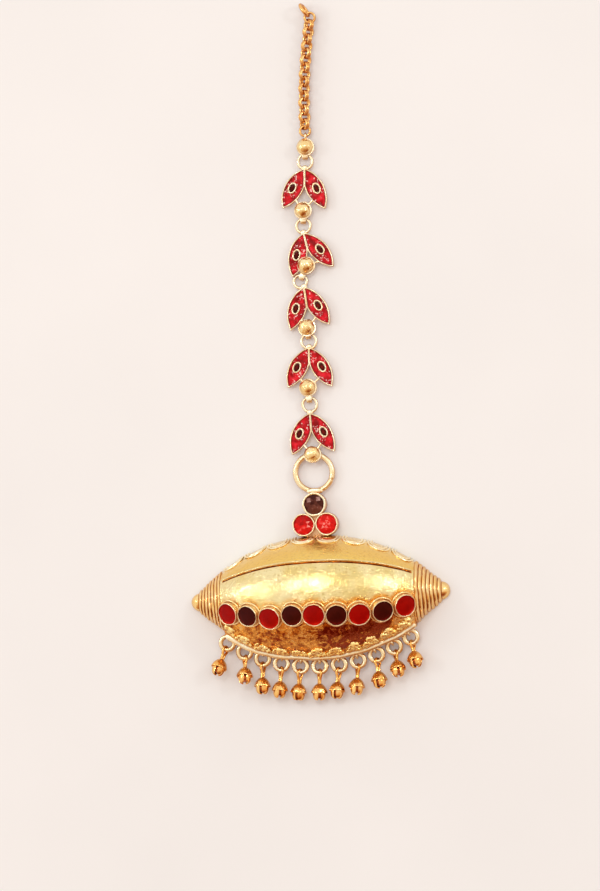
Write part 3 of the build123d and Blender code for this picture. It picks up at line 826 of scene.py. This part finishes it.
def bezel(shape, place, base, lip, inner, height, root, seed):
    """A cup's wall: tapered outside, a rounded lip pressed in over the stone, and its floor."""
    middle, half = (lip + inner) / 2, (lip - inner) / 2
    profile = [(0, root), (base, root), (base, 0.1), (base * 0.5 + lip * 0.5, height * 0.5)]
    for turn in np.linspace(-0.1, pi, 11):
        profile.append((middle + half * cos(turn), height - 0.14 + 0.16 * sin(turn)))
    profile += [(inner, height - cup_depth), (0, height - cup_depth)]
    chance = np.random.default_rng(seed)
    lobes = [(count, chance.uniform(0, tau), chance.uniform(0.006, 0.02)) for count in (2, 3, 5, 9, 14)]

    def wobble(turn, level):
        wave = sum(size * np.cos(count * turn + phase) for count, phase, size in lobes)
        return wave * smooth_step(height * 0.3, height, level)

    shape.lathe(place, profile, 64, wobble=wobble)


def stone_radius(index):
    """The row's stones are red and dark by turns, and the red ones are a little larger."""
    return 2.31 if index % 2 else 2.42


cup_foot_radius = 2.6
cup_lip = 0.24
cup_root = -0.9
foot_wire_mean = 2.8
foot_wire = 0.22


def row_cups():
    """The row's cups, and the wires round their feet."""
    cups, wires = Shape(), Shape()
    for index, (along, around) in enumerate(row_table):
        inner = stone_radius(index)
        place = barrel_place(along, around)
        outer = inner + cup_lip
        bezel(cups, place, cup_foot_radius, outer, inner - 0.01, cup_height, cup_root, 40 + index)
        wires.ring(place, foot_wire_mean, foot_wire, 64, 10, uneven=0.05, seed=50 + index)
    return cups, wires


def gem_dome(place, radius, height, dome):
    """A smooth, slightly domed stone. Its tint is strongest low on its edge, where light gathers."""
    shape = Shape()
    edge = height - dome
    profile = [(0, edge - 0.5), (radius, edge - 0.5), (radius, edge), (radius - 0.05, height - dome * 0.8)]
    for share in np.linspace(0.06, 1, 16):
        profile.append((radius * (1 - share), height - dome * 0.8 * (1 - share) ** 2))
    profile = np.array(profile)
    turn = np.arange(56) * tau / 56
    low = 0.5 - 0.5 * np.cos(turn - radians(75))
    glow = 0.35 + 0.65 * low * (profile[:, :1] / radius) ** 4
    shape.lathe(place, profile, 56, tint=glow)
    return shape


def gem_cut(place, radius, level, rise, turn, shade):
    """A rose-cut stone: shallow facets round its point, kites and girdle facets. shade gives each facet's
    tint, a painted reflection, from where its middle lies, as shares of the radius, and from its number."""
    count = 8
    rings = []
    ring_table = [(1.0, 0.0, 0, 2 * count), (0.74, 0.62, 0.5, count), (0.4, 0.92, 0, count)]
    for share, height, offset, steps in ring_table:
        angles = radians(turn) + (np.arange(steps) + offset) * tau / steps
        rings.append(arc(radius * share, angles, level + rise * height))
    outer, kite, inner = rings
    point = np.array([0, 0, level + rise])
    facets = []
    for step in range(count):
        after = (step + 1) % count
        facets += [
            [point, inner[step], inner[after]],
            [inner[step], kite[step], inner[after]],
            [inner[step], kite[step - 1], outer[2 * step], kite[step]],
            [kite[step], outer[2 * step], outer[2 * step + 1]],
            [kite[step], outer[2 * step + 1], outer[(2 * step + 2) % (2 * count)]],
        ]
    shape = Shape()
    for number, facet in enumerate(facets):
        middle = np.mean(facet, axis=0)[:2] / radius
        shape.add(place.points(facet), [list(range(len(facet)))], shade(middle, number))
    low = outer - (0, 0, 0.6)
    shape.grid(place.points(np.stack([outer, low])), around=True, tint=0.3)
    shape.cap(place.points(low))
    return shape


def even_shade(middle, number):
    """Painted reflections: mostly dark, lighter low in the middle, with two pale facets near the top edge.
    """
    if number % 5 == 2 and middle[1] > 0.3 and abs(middle[0]) > 0.3:
        return 0.95
    if middle[1] < -0.1 and abs(middle[0]) < 0.55:
        return 0.5 + 0.12 * cos(number * 1.7)
    return 0.2 + 0.16 * cos(number * 2.3)


def left_shade(middle, number):
    """Painted reflections: darker facets above, brighter ones below, and a few pale slivers across the
    middle.
    """
    if number % 5 == 1 and abs(middle[1]) < 0.3 and middle[0] > 0:
        return 1.0
    return (0.26 if middle[1] > 0 else 0.52) + 0.12 * cos(number * 2.3)


def right_shade(middle, number):
    """Painted reflections: bright, and palest in the middle."""
    if np.linalg.norm(middle) < 0.55 and middle[1] < 0.25 and number % 2:
        return 0.85 + 0.1 * cos(number * 2.7)
    return 0.52 + 0.12 * cos(number * 1.9)


def cluster():
    """Three cups soldered together on a plate, the filler between them and the saddle. Gives back
    the shape, and each cup's x, y, outer radius and inner radius by name."""
    shape = Shape()
    reach = float(np.linalg.norm((right_cup - left_cup) / 2))
    rise = sqrt((2 * reach) ** 2 - reach**2)
    cups = {
        "left": (cluster_x - reach, cluster_red_y, 2.65, 2.3),
        "right": (cluster_x + reach, cluster_red_y, 2.65, 2.3),
        "top": (cluster_x, cluster_red_y + rise, 2.78, 2.28),
    }
    for number, (x, y, outer, inner) in enumerate(cups.values()):
        place = pendant.inside(x, y, cluster_bottom)
        bezel(shape, place, outer, outer - 0.03, inner, cluster_top - cluster_bottom, 0.0, 60 + number)
    foot = cluster_red_y - 3.2
    outline = [
        (cluster_x - reach, foot),
        (cluster_x + reach, foot),
        (cluster_x + reach, cluster_red_y),
        (cluster_x, cluster_red_y + rise),
        (cluster_x - reach, cluster_red_y),
    ]
    middle = np.mean(outline, axis=0)
    rows = []
    for level, shrink in ((cluster_bottom, 1.0), (1.7, 1.0), (1.9, 0.93)):
        spots = middle + (np.array(outline) - middle) * shrink
        rows.append(pendant.points(with_height(spots, level)))
    # painted shade on the filler between the cups
    shape.grid(rows, around=True, tint=0.7)
    shape.cap(rows[0])
    shape.cap(rows[-1], 0.7)
    saddle = pendant.inside(cluster_x + 0.16, cluster_red_y + rise + 3.1, 1.35)
    turn = np.linspace(0, pi, 15)
    profile = [(sin(step) ** 0.6, -0.62 * cos(step)) for step in turn]
    barrel = Shape()
    barrel.lathe(Place((0, 0, 0), (1, 0, 0), UP), profile, 36)
    spots = barrel.blocks[0]
    spots = np.sign(spots) * np.abs(spots) ** 0.85 * (1.95, 0.7, 1.05)
    shape.add(saddle.points(spots), barrel.faces)
    return shape, cups


def large_ring():
    """The ring between the last leaf link and the cluster, with its soldered joint."""
    turn = np.linspace(0, tau, 121)[:-1]
    joint = radians(-24)
    off = np.angle(np.exp(1j * (turn - joint)))
    radius = big_ring_mean + 0.05 * np.cos(2 * turn + 0.7)
    place = flat_place(*big_ring_centre, big_ring_height, pendant_turn)
    thick = big_ring_wire / 2 * (1 - 0.14 * hump(off, 0, 0.03) + 0.05 * hump(off, 0.12, 0.08))
    shape = Shape()
    shape.wire(place.points(arc(radius, turn)), thick, 24, closed=True, up=UP)
    return shape


# ==== Fringe ====
jump_ring_wire = 0.53
# how far past its usual reach each bell hangs
bell_slack = (0.15, -0.15, 0.4, 0.15, 0.15, 0.15, 0.15, 0.15, 0.0, -0.55, -0.5)


def jump_ring(index, droop):
    """One split ring. Gives back its shape, its centre, and its outward way and normal."""
    outward = drop_outward(index)
    across = np.cross(outward, UP)
    ring_out = turned(outward, across, -droop)
    tuck = 0.2 * smooth_step(3, 5, index)
    centre = drop_root(index) + ring_out * (ring_mean - tuck)
    normal = np.cross(ring_out, across)
    place = Place(centre, ring_out, normal)
    start = 180 + 40 * sin(index * 2.4)
    shape = Shape()
    mean = ring_mean + 0.05
    shape.ring(place, mean, jump_ring_wire, 60, 16, gap=3.0, start=start, uneven=0.02, seed=index)
    return shape, centre, ring_out, normal


# a bell's cap with its lip, and the core that shows through its slits, as radius and height
bell_cap = [(0, -1.98), (0.3, -1.95), (0.65, -1.78), (1.02, -1.5), (1.34, -1.14), (1.58, -0.74)]
bell_cap += [(1.74, -0.34), (1.84, 0.04), (1.88, 0.24), (1.84, 0.34)]
bell_cap += [(1.72, 0.25), (1.5, -0.1), (0.0, -0.2)]
bell_core = [(0, 0.0), (1.1, 0.1), (1.15, 0.7), (1.05, 1.2), (0.8, 1.5), (0, 1.6)]
bell_petals = 8
bowl_radius = 1.55
bowl_depth = 2.05
slit_half = 0.31
bell_loop_mean = 0.86
bell_loop_wire = 0.33


def bell_bowl(shape, place):
    """The four quarters of a bell's bowl, with slits between them, and its dark core: painted shade on the
    quarters' insides and on the core.
    """
    for start in np.arange(4) * pi / 2:
        rows = []
        for polar in np.linspace(0, 1.36, 15):
            radius = bowl_radius * cos(polar) ** 0.45
            shut = min(slit_half / radius, 0.7)
            turn = np.linspace(start + shut, start + pi / 2 - shut, 12)
            outer = arc(radius, turn, bowl_depth * sin(polar) ** 1.15)
            inner = outer[::-1] * (0.84, 0.84, 0.86)
            rows.append(place.points(np.concatenate([outer, inner])))
        # painted shade: tint on the inner faces
        shades = np.tile(np.repeat([0.0, 0.9], 12), len(rows))
        shape.grid(rows, around=True, tint=shades)
        shape.cap(rows[0])
        shape.cap(rows[-1])
    shape.lathe(place, bell_core, 24, tint=0.95)


def bell_loop(shape, place, reach):
    """The wire loop over a bell's cap. Its bend lies at a reach along X from the bell's middle."""
    bend = arc(bell_loop_mean, np.linspace(-pi / 2, pi / 2, 15)) + (reach, 0, 0)
    share = np.linspace(0, 1, 11)
    spread = 0.33 + 0.51 * smooth_step(0.45, 1.05, share)
    leg = columns(1.6 + (reach - 1.75) * share, spread, 0.0)
    path = np.concatenate([leg * (1, -1, 1), bend, leg[::-1]])
    shape.wire(place.points(path), bell_loop_wire, 12, up=place.z)


def bell(index, swing, tilt, twist, centre, ring_out, normal):
    """A round bell: a domed cap with a scalloped lip, a slit bowl and its wire loop."""
    outward = drop_outward(index)
    level = pendant.way(sin(radians(swing)), -cos(radians(swing)), 0)
    side = np.cross(level, UP)
    out = turned(level, side, tilt)
    ring_side = np.cross(normal, ring_out)
    away = unit(ring_out * np.dot(level, outward) + ring_side * np.dot(level, ring_side))
    slack = bell_slack[index]
    spot = centre + away * (ring_mean + 0.2) + out * (bell_reach + slack)
    shape = Shape()
    place = Place(spot, turned(side, out, twist / 3), out)

    def frill(turn, height):
        return 0.07 * np.cos(bell_petals * turn + index) * smooth_step(-1.0, 0.1, height)

    shape.lathe(place, bell_cap, 72, wobble=frill)
    bell_bowl(shape, place)
    loop = Place(spot, -out, turned(side, out, twist))
    bell_loop(shape, loop, bell_reach + slack + 0.15 + ring_wire / 2 - 0.6)
    return shape


# ==== Leaf links ====
def leaf_point(splay, along, across):
    """A point on the right leaf, in its link's own X and Y. The leaves hang either side of -Y."""
    turn = radians(splay)
    return np.array([along * sin(turn) + across * cos(turn), -along * cos(turn) + across * sin(turn)])


def leaf_outline(side, splay, inset, arc_steps=30, cut_steps=8):
    """A leaf's edge drawn in by an inset and cut at the ridge, as points in its link's X and Y."""
    arc = (leaf_length**2 + leaf_width**2) / (4 * leaf_width)
    centre = arc - leaf_width / 2
    half = sqrt((arc - inset) ** 2 - centre**2)
    ridge = inset * ridge_half / leaf_rim

    def spot(along, edge):
        across = sqrt(max((arc - inset) ** 2 - (along - leaf_length / 2) ** 2, 0)) - centre
        return leaf_point(splay, along, edge * across)

    def crossing(edge, low, high):
        """Where one edge of the leaf meets the ridge, by halving."""
        for _ in range(40):
            middle = (low + high) / 2
            if spot(middle, edge)[0] < ridge:
                low = middle
            else:
                high = middle
        return high

    near, far = leaf_length / 2 - half, leaf_length / 2 + half
    outer_start = near if spot(near, 1)[0] >= ridge else crossing(1, near, far)
    inner_start = crossing(-1, near + (far - near) * 0.1, far)
    outer = [spot(along, 1) for along in outer_start + (far - outer_start) * np.linspace(0, 1, arc_steps)]
    inner = [spot(along, -1) for along in far + (inner_start - far) * np.linspace(0, 1, arc_steps)[1:]]
    cut = [inner[-1] + (outer[0] - inner[-1]) * share for share in np.linspace(0, 1, cut_steps)[1:-1]]
    points = np.array(outer + inner + cut)
    return points * (side, 1)


def eye_points(side, splay, size, steps):
    """An oval round the eye of one leaf."""
    turn = np.arange(steps) * tau / steps
    lean = radians(side * (splay + eye_lean))
    x, y = size[0] * np.cos(turn), size[1] * np.sin(turn)
    centre = leaf_point(splay, *eye_spot) * (side, 1)
    return centre + columns(x * cos(lean) - y * sin(lean), x * sin(lean) + y * cos(lean))


def leaf_metal(shape, link, side, splay):
    """The plate and raised rim of one leaf, and the oval setting of its eye."""
    rings = []
    levels = [
        (0.10, leaf_bottom),
        (0.0, leaf_bottom + 0.1),
        (0.0, leaf_top - 0.12),
        (0.05, leaf_top - 0.02),
        (0.14, leaf_top + 0.02),
        (0.24, leaf_top - 0.01),
        (0.31, leaf_top - 0.12),
        (0.33, leaf_top - 0.4),
    ]
    for inset, height in levels:
        points = leaf_outline(side, splay, inset)
        spots = with_height(points, height)
        bend = ripple(link.points(spots * (1, 1, 0)), 2.2, 81)
        wave = ripple(link.points(spots * (1, 1, 0)), 3.4, 82)
        middle = points.mean(axis=0)
        free = smooth_step(0.05, 0.5, np.abs(points[:, 0]))[:, None]
        top = smooth_step(leaf_bottom, leaf_top, height)
        spots[:, :2] += 0.05 * bend[:, None] * free * (points - middle) / leaf_width
        spots[:, 2] += 0.05 * top * wave * free[:, 0]
        rings.append(link.points(spots))
    shape.grid(rings, around=True)
    shape.cap(rings[0])
    shape.cap(rings[-1])
    steps = 44
    oval = eye_points(side, splay, eye_rim, steps)
    uneven = ripple(link.points(with_height(oval, 0)), 0.9, 83)
    spots = with_height(oval, leaf_top - 0.02 + 0.03 * uneven)
    shape.wire(link.points(spots), 0.17 + 0.012 * uneven, 10, closed=True, up=UP)
    outer = eye_points(side, splay, (eye_rim[0] + 0.1, eye_rim[1] + 0.1), steps)
    rows = [with_height(outer, 0.9), with_height(outer, leaf_top - 0.05)]
    shape.grid([link.points(row) for row in rows], around=True)
    shape.cap(link.points(rows[0]))
    shape.cap(link.points(rows[1]))


# the glaze's height, and how far it climbs its rim
glaze_height = 1.3
glaze_rise = 0.1


def enamel(link, side, splay):
    """The glaze between a leaf's rim and its eye, uneven on top, darker against the rim."""
    edge = leaf_outline(side, splay, leaf_rim - 0.05)
    centre = leaf_point(splay, *eye_spot) * (side, 1)
    lean = radians(side * (splay + eye_lean))
    rays = edge - centre
    wide = rays[:, 0] * cos(lean) + rays[:, 1] * sin(lean)
    long = rays[:, 1] * cos(lean) - rays[:, 0] * sin(lean)
    oval_share = 1 / np.sqrt((wide / eye_rim[0]) ** 2 + (long / eye_rim[1]) ** 2)
    inner = centre + rays * oval_share[:, None]
    rows, tints = [], []
    for share in np.linspace(0, 1, 22):
        flat = edge + (inner - edge) * share
        spots = link.points(with_height(flat, 0))
        to_rim = np.linalg.norm(flat - edge, axis=1)
        height = glaze_height + glaze_rise * np.exp(-to_rim / 0.12)
        height = height + 0.035 * ripple(spots, 1.3, 91) + 0.02 * ripple(spots, 0.5, 92)
        rows.append(link.points(with_height(flat, height)))
        tints.append(0.85 * hump(to_rim, 0, 0.28))
    shape = Shape()
    shape.grid(rows, around=True, tint=np.concatenate(tints))
    low = [link.points(with_height(flat, 0.8)) for flat in (inner, edge)]
    shape.grid([rows[-1], low[0], low[1], rows[0]], around=True, tint=1.0)
    return shape


# an eye stone's profile, as a share of its size and a height
eye_profile = [(1.0, 0.8), (1.0, 1.42), (0.93, 1.5), (0.75, 1.55), (0.4, 1.575), (0.0, 1.58)]
eye_steps = 36


def eye_gems(link, splay):
    """The pair of small dark oval stones, with a painted glow brighter towards their middle."""
    shape = Shape()
    for side in (-1, 1):
        rows = []
        glow = []
        for share, height in eye_profile:
            size = (eye_inner[0] * share + 1e-5, eye_inner[1] * share + 1e-5)
            rows.append(link.points(with_height(eye_points(side, splay, size, eye_steps), height)))
            glow.append(np.full(eye_steps, 1 - share * 0.7))
        shape.grid(rows, around=True, tint=np.concatenate(glow))
        shape.cap(rows[0])
    return shape


def bead(shape, spot, tilt, seed, rough):
    """Puts a bead's thin disc in a shape, and gives back the ball's hammered front half."""
    back = Place(spot, (1, 0, 0), turned(UP, (1, 0, 0), tilt))
    disc = [(0, 0.0), (bead_disc - 0.08, 0.0), (bead_disc, 0.1)]
    disc += [(bead_disc, 0.28), (bead_disc - 0.1, 0.38), (0, 0.4)]
    shape.lathe(back, disc, 60, wobble=lambda turn, level: 0.02 * np.cos(5 * turn + seed))
    dome = [(0, 0.2), (bead_dome - 0.06, 0.2), (bead_dome - 0.02, 0.42)]
    for turn in np.linspace(0.04, pi / 2, 26):
        dome.append((bead_dome * cos(turn), 0.4 + bead_dome * sin(turn)))

    def hammered(turn, level):
        way = arc(1.8, turn, level * 1.6)
        return rough * (0.03 * ripple(way, 2.4, 100 + seed) + 0.014 * ripple(way, 0.8, 110 + seed))

    ball = Shape()
    ball.lathe(back.inside(-0.1, 0.06, 0), dome, 84, wobble=hammered)
    return ball


def ring_spot(index):
    """The centre, mean radius and wire of the ring that a link's strap goes round."""
    if index == len(link_table):
        return np.array([*big_ring_centre, big_ring_height]), big_ring_mean, big_ring_wire
    x, y, turn, _, ring_dx, ring_dy, ring_radius = link_table[index][:7]
    link = flat_place(x, y, link_ring_height, turn)
    return link.points((ring_dx, ring_dy, 0)), ring_radius, link_ring_wire


strap_steps = 13


def strap(shape, bead_spot, ring_index):
    """The flat loop that ties a bead to the next ring's wire."""
    centre, mean, wire = ring_spot(ring_index)
    pull = unit(centre - (bead_spot[0], bead_spot[1], centre[2]))
    slack = big_strap_slack if ring_index == len(link_table) else strap_slack
    middle = centre - pull * (mean - (slack / 2 - strap_play))
    place = Place(middle, pull, np.cross(pull, UP))
    radius = (wire + 2 * strap_play + strap_wall) / 2
    turn = np.linspace(-pi / 2, pi / 2, strap_steps)
    right = columns(slack / 2 + radius * np.cos(turn), radius * np.sin(turn))
    path = np.concatenate([right, -right])
    outward = columns(np.cos(turn), np.sin(turn))
    away = np.concatenate([outward, -outward])
    rows = []
    for step, (spot, out) in enumerate(zip(path, away)):
        half = 0.6 - 0.06 * cos(step / strap_steps * pi)
        left = [(-half, -0.11), (-half, 0.08), (-half + 0.1, 0.13)]
        section = left + [(-side, lift) for side, lift in left[::-1]]
        rows.append(place.points([(*(spot + out * lift), side) for side, lift in section]))
    shape.grid(rows, around=True, along=True)


prong_length = 1.75


def prong(shape, start, end):
    """A short straight wire, thinner in its middle."""
    share = np.linspace(0, 1, 10)[:, None]
    shape.wire(start + (end - start) * share, 0.34 - 0.06 * np.sin(share[:, 0] * pi), 12)


# how deep a bead's hammering is, and the links whose beads are more battered
bead_hammering = 1.9
battered_hammering = 3.4
battered_beads = (1, 2)


def leaf_link(index, row):
    """One link's metal and its bead's ball, with the link's own place."""
    x, y, turn, splay, ring_dx, ring_dy, ring_radius = row[:7]
    bead_dx, bead_dy, bead_height, bead_tilt = row[7:]
    link = flat_place(x, y, 0, turn)
    spot = link.points((bead_dx, bead_dy, bead_height))
    shape = Shape()
    for side in (-1, 1):
        leaf_metal(shape, link, side, splay)
        start = link.points((*(leaf_point(splay, *prong_root) * (side, 1)), prong_height))
        target = link.points((bead_dx, bead_dy, prong_height + 0.35))
        if np.linalg.norm(target - start) > bead_disc:
            prong(shape, start, start + unit(target - start) * prong_length)
    hoop = link.inside(ring_dx, ring_dy, link_ring_height)
    shape.ring(hoop, ring_radius, link_ring_wire / 2, 64, 14, uneven=0.04, seed=index)
    knot = link.inside(0, 0.05, link_ring_height)
    shape.lathe(knot, [(0, -0.35), (0.6, -0.33), (0.74, 0), (0.6, 0.36), (0.3, 0.5), (0, 0.52)], 24)
    rough = battered_hammering if index in battered_beads else bead_hammering
    ball = bead(shape, spot, bead_tilt, index, rough)
    strap(shape, spot, index + 1)
    return link, shape, ball


# ==== Chain ====
def route_line(route):
    """Points and their distances along the smooth line that a route's points control."""
    curve = bpy.data.curves.new("route", "CURVE")
    curve.dimensions = "3D"
    curve.resolution_u = 24
    spline = curve.splines.new("NURBS")
    spline.points.add(len(route) - 1)
    for point, spot in zip(spline.points, route):
        point.co = (*spot, 1)
    spline.order_u = 3
    spline.use_endpoint_u = True
    holder = bpy.data.objects.new("route", curve)
    bpy.context.scene.collection.objects.link(holder)
    graph = bpy.context.evaluated_depsgraph_get()
    line = bpy.data.meshes.new_from_object(holder.evaluated_get(graph))
    spots = np.array([vertex.co for vertex in line.vertices])
    bpy.data.objects.remove(holder)
    bpy.data.curves.remove(curve)
    bpy.data.meshes.remove(line)
    steps = np.linalg.norm(np.diff(spots, axis=0), axis=1)
    return spots, np.concatenate([[0], np.cumsum(steps)])


chain_link_mean = 1.14
chain_link_wire = 0.285
chain_link_count = 17
# half the distance between the two links of a pair
chain_pair_half = 0.265


def chain_links():
    """Doubled round links, each pair turned a quarter from the last."""
    spots, distances = route_line(chain_route)

    def route_spot(at):
        return np.array([np.interp(at, distances, spots[:, axis]) for axis in range(3)])

    end = distances[-1]
    first, last = 0.12, end + 0.43
    start_way = unit(spots[1] - spots[0])
    end_way = unit(spots[-1] - spots[-2])
    chance = np.random.default_rng(5)
    shape = Shape()
    for index in range(chain_link_count):
        at = first + (last - first) * index / (chain_link_count - 1)
        centre = spots[-1] + end_way * (at - end) if at > end else route_spot(at)
        way, roll = unit(route_spot(min(at + 0.8, end)) - route_spot(max(at - 0.8, 0))), 6
        shake = chance.uniform(-7, 7)
        if index == 0:
            way = start_way
        elif index == chain_link_count - 1:
            way = end_way
        else:
            roll = 42 + (90 if index % 2 else 0) + shake
        face = turned(UP - np.dot(UP, way) * way, way, roll)
        way = turned(way, face, chance.uniform(-5, 5))
        for half in (-1, 1):
            place = Place(centre + half * chain_pair_half * unit(face), way, face)
            shape.ring(place, chain_link_mean, chain_link_wire, 30, 10, uneven=0.02, seed=index)
    return shape


# ==== Pieces ====
# the top of a row stone and how far it is domed, and the girdle of a cut stone and its rise
gem_top = cup_height - 0.06
gem_rise = 0.3
cut_level = cluster_top - 0.42
cut_rise = 0.38

barrel_sheet().piece("pendant_body", barrel_gold, "gold", ["pendant"])
cones = Shape()
for side in (-1, 1):
    cone(cones, side)
cones.piece("pendant_cones", wire_gold, "gold", painted_shade=0.3)
scallop_wires().piece("pendant_scallops", bright_gold, "gold")
rim().piece("pendant_rim", bright_gold, "gold", painted_shade=0.1)
solder_heaps().piece("pendant_solder", solder_gold, "gold", painted_shade=0.45)
cups, foot_wires = row_cups()
cups.piece("pendant_row_cups", pale_gold, "gold", painted_shade=0.6)
foot_wires.piece("pendant_row_wires", bead_gold, "gold", painted_shade=0.3)
settings, cluster_cups = cluster()
settings.piece("pendant_cluster", bright_gold, "gold", painted_shade=0.85)
large_ring().piece("pendant_ring", pale_gold, "gold", painted_shade=0.85)

for index, (along, around) in enumerate(row_table):
    gem = gem_dome(barrel_place(along, around), stone_radius(index), gem_top, gem_rise)
    finish, slot = (dark_glass, "dark_stone") if index % 2 else (red_glass, "red_stone")
    gem.piece(f"row_gem_{index + 1}", finish, slot, [f"row_stone_{index + 1}"])

# each cluster stone's turn and shades
gem_looks = {"left": (5.0, left_shade), "right": (16.0, right_shade), "top": (5.0, even_shade)}
for name, (x, y, _, inner) in cluster_cups.items():
    place = pendant.inside(x, y, 0)
    turn, shade = gem_looks[name]
    gem = gem_cut(place, inner + 0.01, cut_level, cut_rise, turn, shade)
    finish, slot = (dark_gem, "dark_stone") if name == "top" else (red_gem, "red_stone")
    gem.piece(f"cluster_gem_{name}", finish, slot, [f"cluster_stone_{name}"], sharp=2.0, faceted=True)

for index, (droop, swing, tilt, twist) in enumerate(drop_table):
    ring, centre, ring_out, normal = jump_ring(index, droop)
    ring.piece(f"fringe_ring_{index + 1}", pale_gold, "gold", [f"jump_ring_{index + 1}"], painted_shade=0.85)
    drop = bell(index, swing, tilt, twist, centre, ring_out, normal)
    drop.piece(f"fringe_bell_{index + 1}", bell_gold, "gold", [f"bell_{index + 1}"], painted_shade=0.35)

for index, row in enumerate(link_table):
    link, metal, ball = leaf_link(index, row)
    metal.piece(f"leaf_metal_{index + 1}", bright_gold, "gold", [f"leaf_link_{index + 1}"], painted_shade=0.7)
    ball.piece(f"leaf_bead_{index + 1}", bead_gold, "gold", painted_shade=0.4)
    for side, hand in ((-1, "left"), (1, "right")):
        glaze = enamel(link, side, row[3])
        glaze.piece(f"glaze_{hand}_{index + 1}", red_enamel, "red_enamel", [f"enamel_{hand}_{index + 1}"])
    gems = eye_gems(link, row[3])
    gems.piece(f"eye_gems_{index + 1}", dark_glass, "dark_stone", [f"eye_stones_{index + 1}"])

top = Shape()
ball = bead(top, np.array(top_bead_centre), 0, 9, bead_hammering)
ball.piece("top_bead_ball", bead_gold, "gold", painted_shade=0.4)
strap(top, np.array(top_bead_centre), 0)
eyelet = (top_bead_centre[0], top_bead_centre[1] + eyelet_reach, eyelet_height)
top.ring(Place(eyelet, (0, 1, 0), (1, 0, 0)), 0.72, 0.25, 32, 12)
top.piece("top_bead_metal", bright_gold, "gold", ["top_bead"], painted_shade=0.7)
chain_links().piece("chain_links", chain_gold, "gold_chain", ["chain"], painted_shade=0.85)
lean = (-sin(radians(end_ring_lean)), cos(radians(end_ring_lean)), 0)
place = Place(end_ring_centre, lean, turned(UP, lean, end_ring_tip))
pin_ring = Shape()
pin_ring.ring(place, end_ring_mean, end_ring_wire / 2, 56, 16, uneven=0.02)
pin_ring.piece("pin_ring", chain_gold, "gold", ["end_ring"], painted_shade=0.85)


# ==== Floor, light and camera ====
floor_reach = 4.0
floor_level = -0.0001
floor_glow = 0.1


def floor():
    """A pale floor, a little brighter to the camera and to what mirrors it or shows it through glass."""
    finish = Finish("pale_floor", Roughness=0.6)
    darker, lighter = (0.76, 0.75, 0.74), (0.79, 0.78, 0.77)
    finish.colour(finish.ramp(finish.noise(60, 3), (0.3, darker), (0.7, lighter)))
    path = finish.node("LightPath")
    seen = path.outputs["Is Camera Ray"]
    for ray in ("Is Glossy Ray", "Is Transmission Ray"):
        seen = finish.sum_up("MAXIMUM", seen, path.outputs[ray])
    glow = finish.times(seen, floor_glow)
    finish.fill(finish.shader, Emission_Color=(1, 1, 1, 1), Emission_Strength=glow)
    made = bpy.data.meshes.new("floor")
    ways = [(-1, -1), (1, -1), (1, 1), (-1, 1)]
    corners = [(x * floor_reach, y * floor_reach, floor_level) for x, y in ways]
    made.from_pydata(corners, [], [(0, 1, 2, 3)])
    made.materials.append(finish.material)
    thing = bpy.data.objects.new("floor", made)
    bpy.context.scene.collection.objects.link(thing)


# between the middle of the whole piece and that of the pendant, in metres
lamp_aim = Vector((0, -0.03, 0))


def softbox(name, spot, size, radiance):
    """A flat white lamp over the object, as bright as a surface of that radiance."""
    lamp = bpy.data.lights.new(name, "AREA")
    lamp.shape = "RECTANGLE"
    lamp.size, lamp.size_y = size
    lamp.energy = radiance * pi * size[0] * size[1]
    thing = bpy.data.objects.new(name, lamp)
    thing.location = spot
    thing.rotation_euler = (lamp_aim - Vector(spot)).to_track_quat("-Z", "Y").to_euler()
    bpy.context.scene.collection.objects.link(thing)


def world():
    """A bright room that grows warm and dark towards the fringe's side."""
    made = bpy.data.worlds.new("studio")
    bpy.context.scene.world = made
    made.use_nodes = True
    tree = made.node_tree
    coordinates = tree.nodes.new("ShaderNodeTexCoord")
    dot = tree.nodes.new("ShaderNodeVectorMath")
    dot.operation = "DOT_PRODUCT"
    dot.inputs[1].default_value = Vector((0.3, -0.92, 0.26)).normalized()
    stops = [
        (0.0, (1.0, 0.99, 0.98)),
        (0.42, (0.94, 0.88, 0.81)),
        (0.66, (0.80, 0.46, 0.22)),
        (0.92, (0.30, 0.07, 0.02)),
    ]
    ramp = fill_ramp(tree.nodes.new("ShaderNodeValToRGB"), stops)
    background = tree.nodes["Background"]
    background.inputs["Strength"].default_value = 1.0
    tree.links.new(coordinates.outputs["Generated"], dot.inputs[0])
    tree.links.new(dot.outputs["Value"], ramp.inputs["Fac"])
    tree.links.new(ramp.outputs["Color"], background.inputs["Color"])


floor()
world()
softbox("left_box", (-0.665, 0.12, 0.47), (0.15, 0.045), 27.0)
softbox("middle_box", (-0.14, 0.285, 0.76), (0.26, 0.04), 24.0)
softbox("right_box", (0.60, 0.27, 0.49), (0.18, 0.04), 27.0)

camera_distance = 1.34
camera_turn = radians(7.15)  # from straight above, towards the right of the pendant
camera_lean = radians(1.18)  # and towards its fringe
view_height = 0.2058
view_centre = Vector((-0.0048, -0.0219, 0.0))
camera = bpy.data.cameras.new("camera")
camera.lens = camera.sensor_width * camera_distance / view_height
camera.clip_start = 0.01
across = Vector((cos(camera_turn), 0, -sin(camera_turn)))
back = Vector((sin(camera_turn) * cos(camera_lean), -sin(camera_lean), cos(camera_turn) * cos(camera_lean)))
holder = bpy.data.objects.new("camera", camera)
holder.rotation_euler = Matrix((across, back.cross(across), back)).transposed().to_euler()
holder.location = view_centre + camera_distance * back
bpy.context.scene.collection.objects.link(holder)
bpy.context.scene.camera = holder
bpy.context.scene.view_settings.view_transform = "Standard"
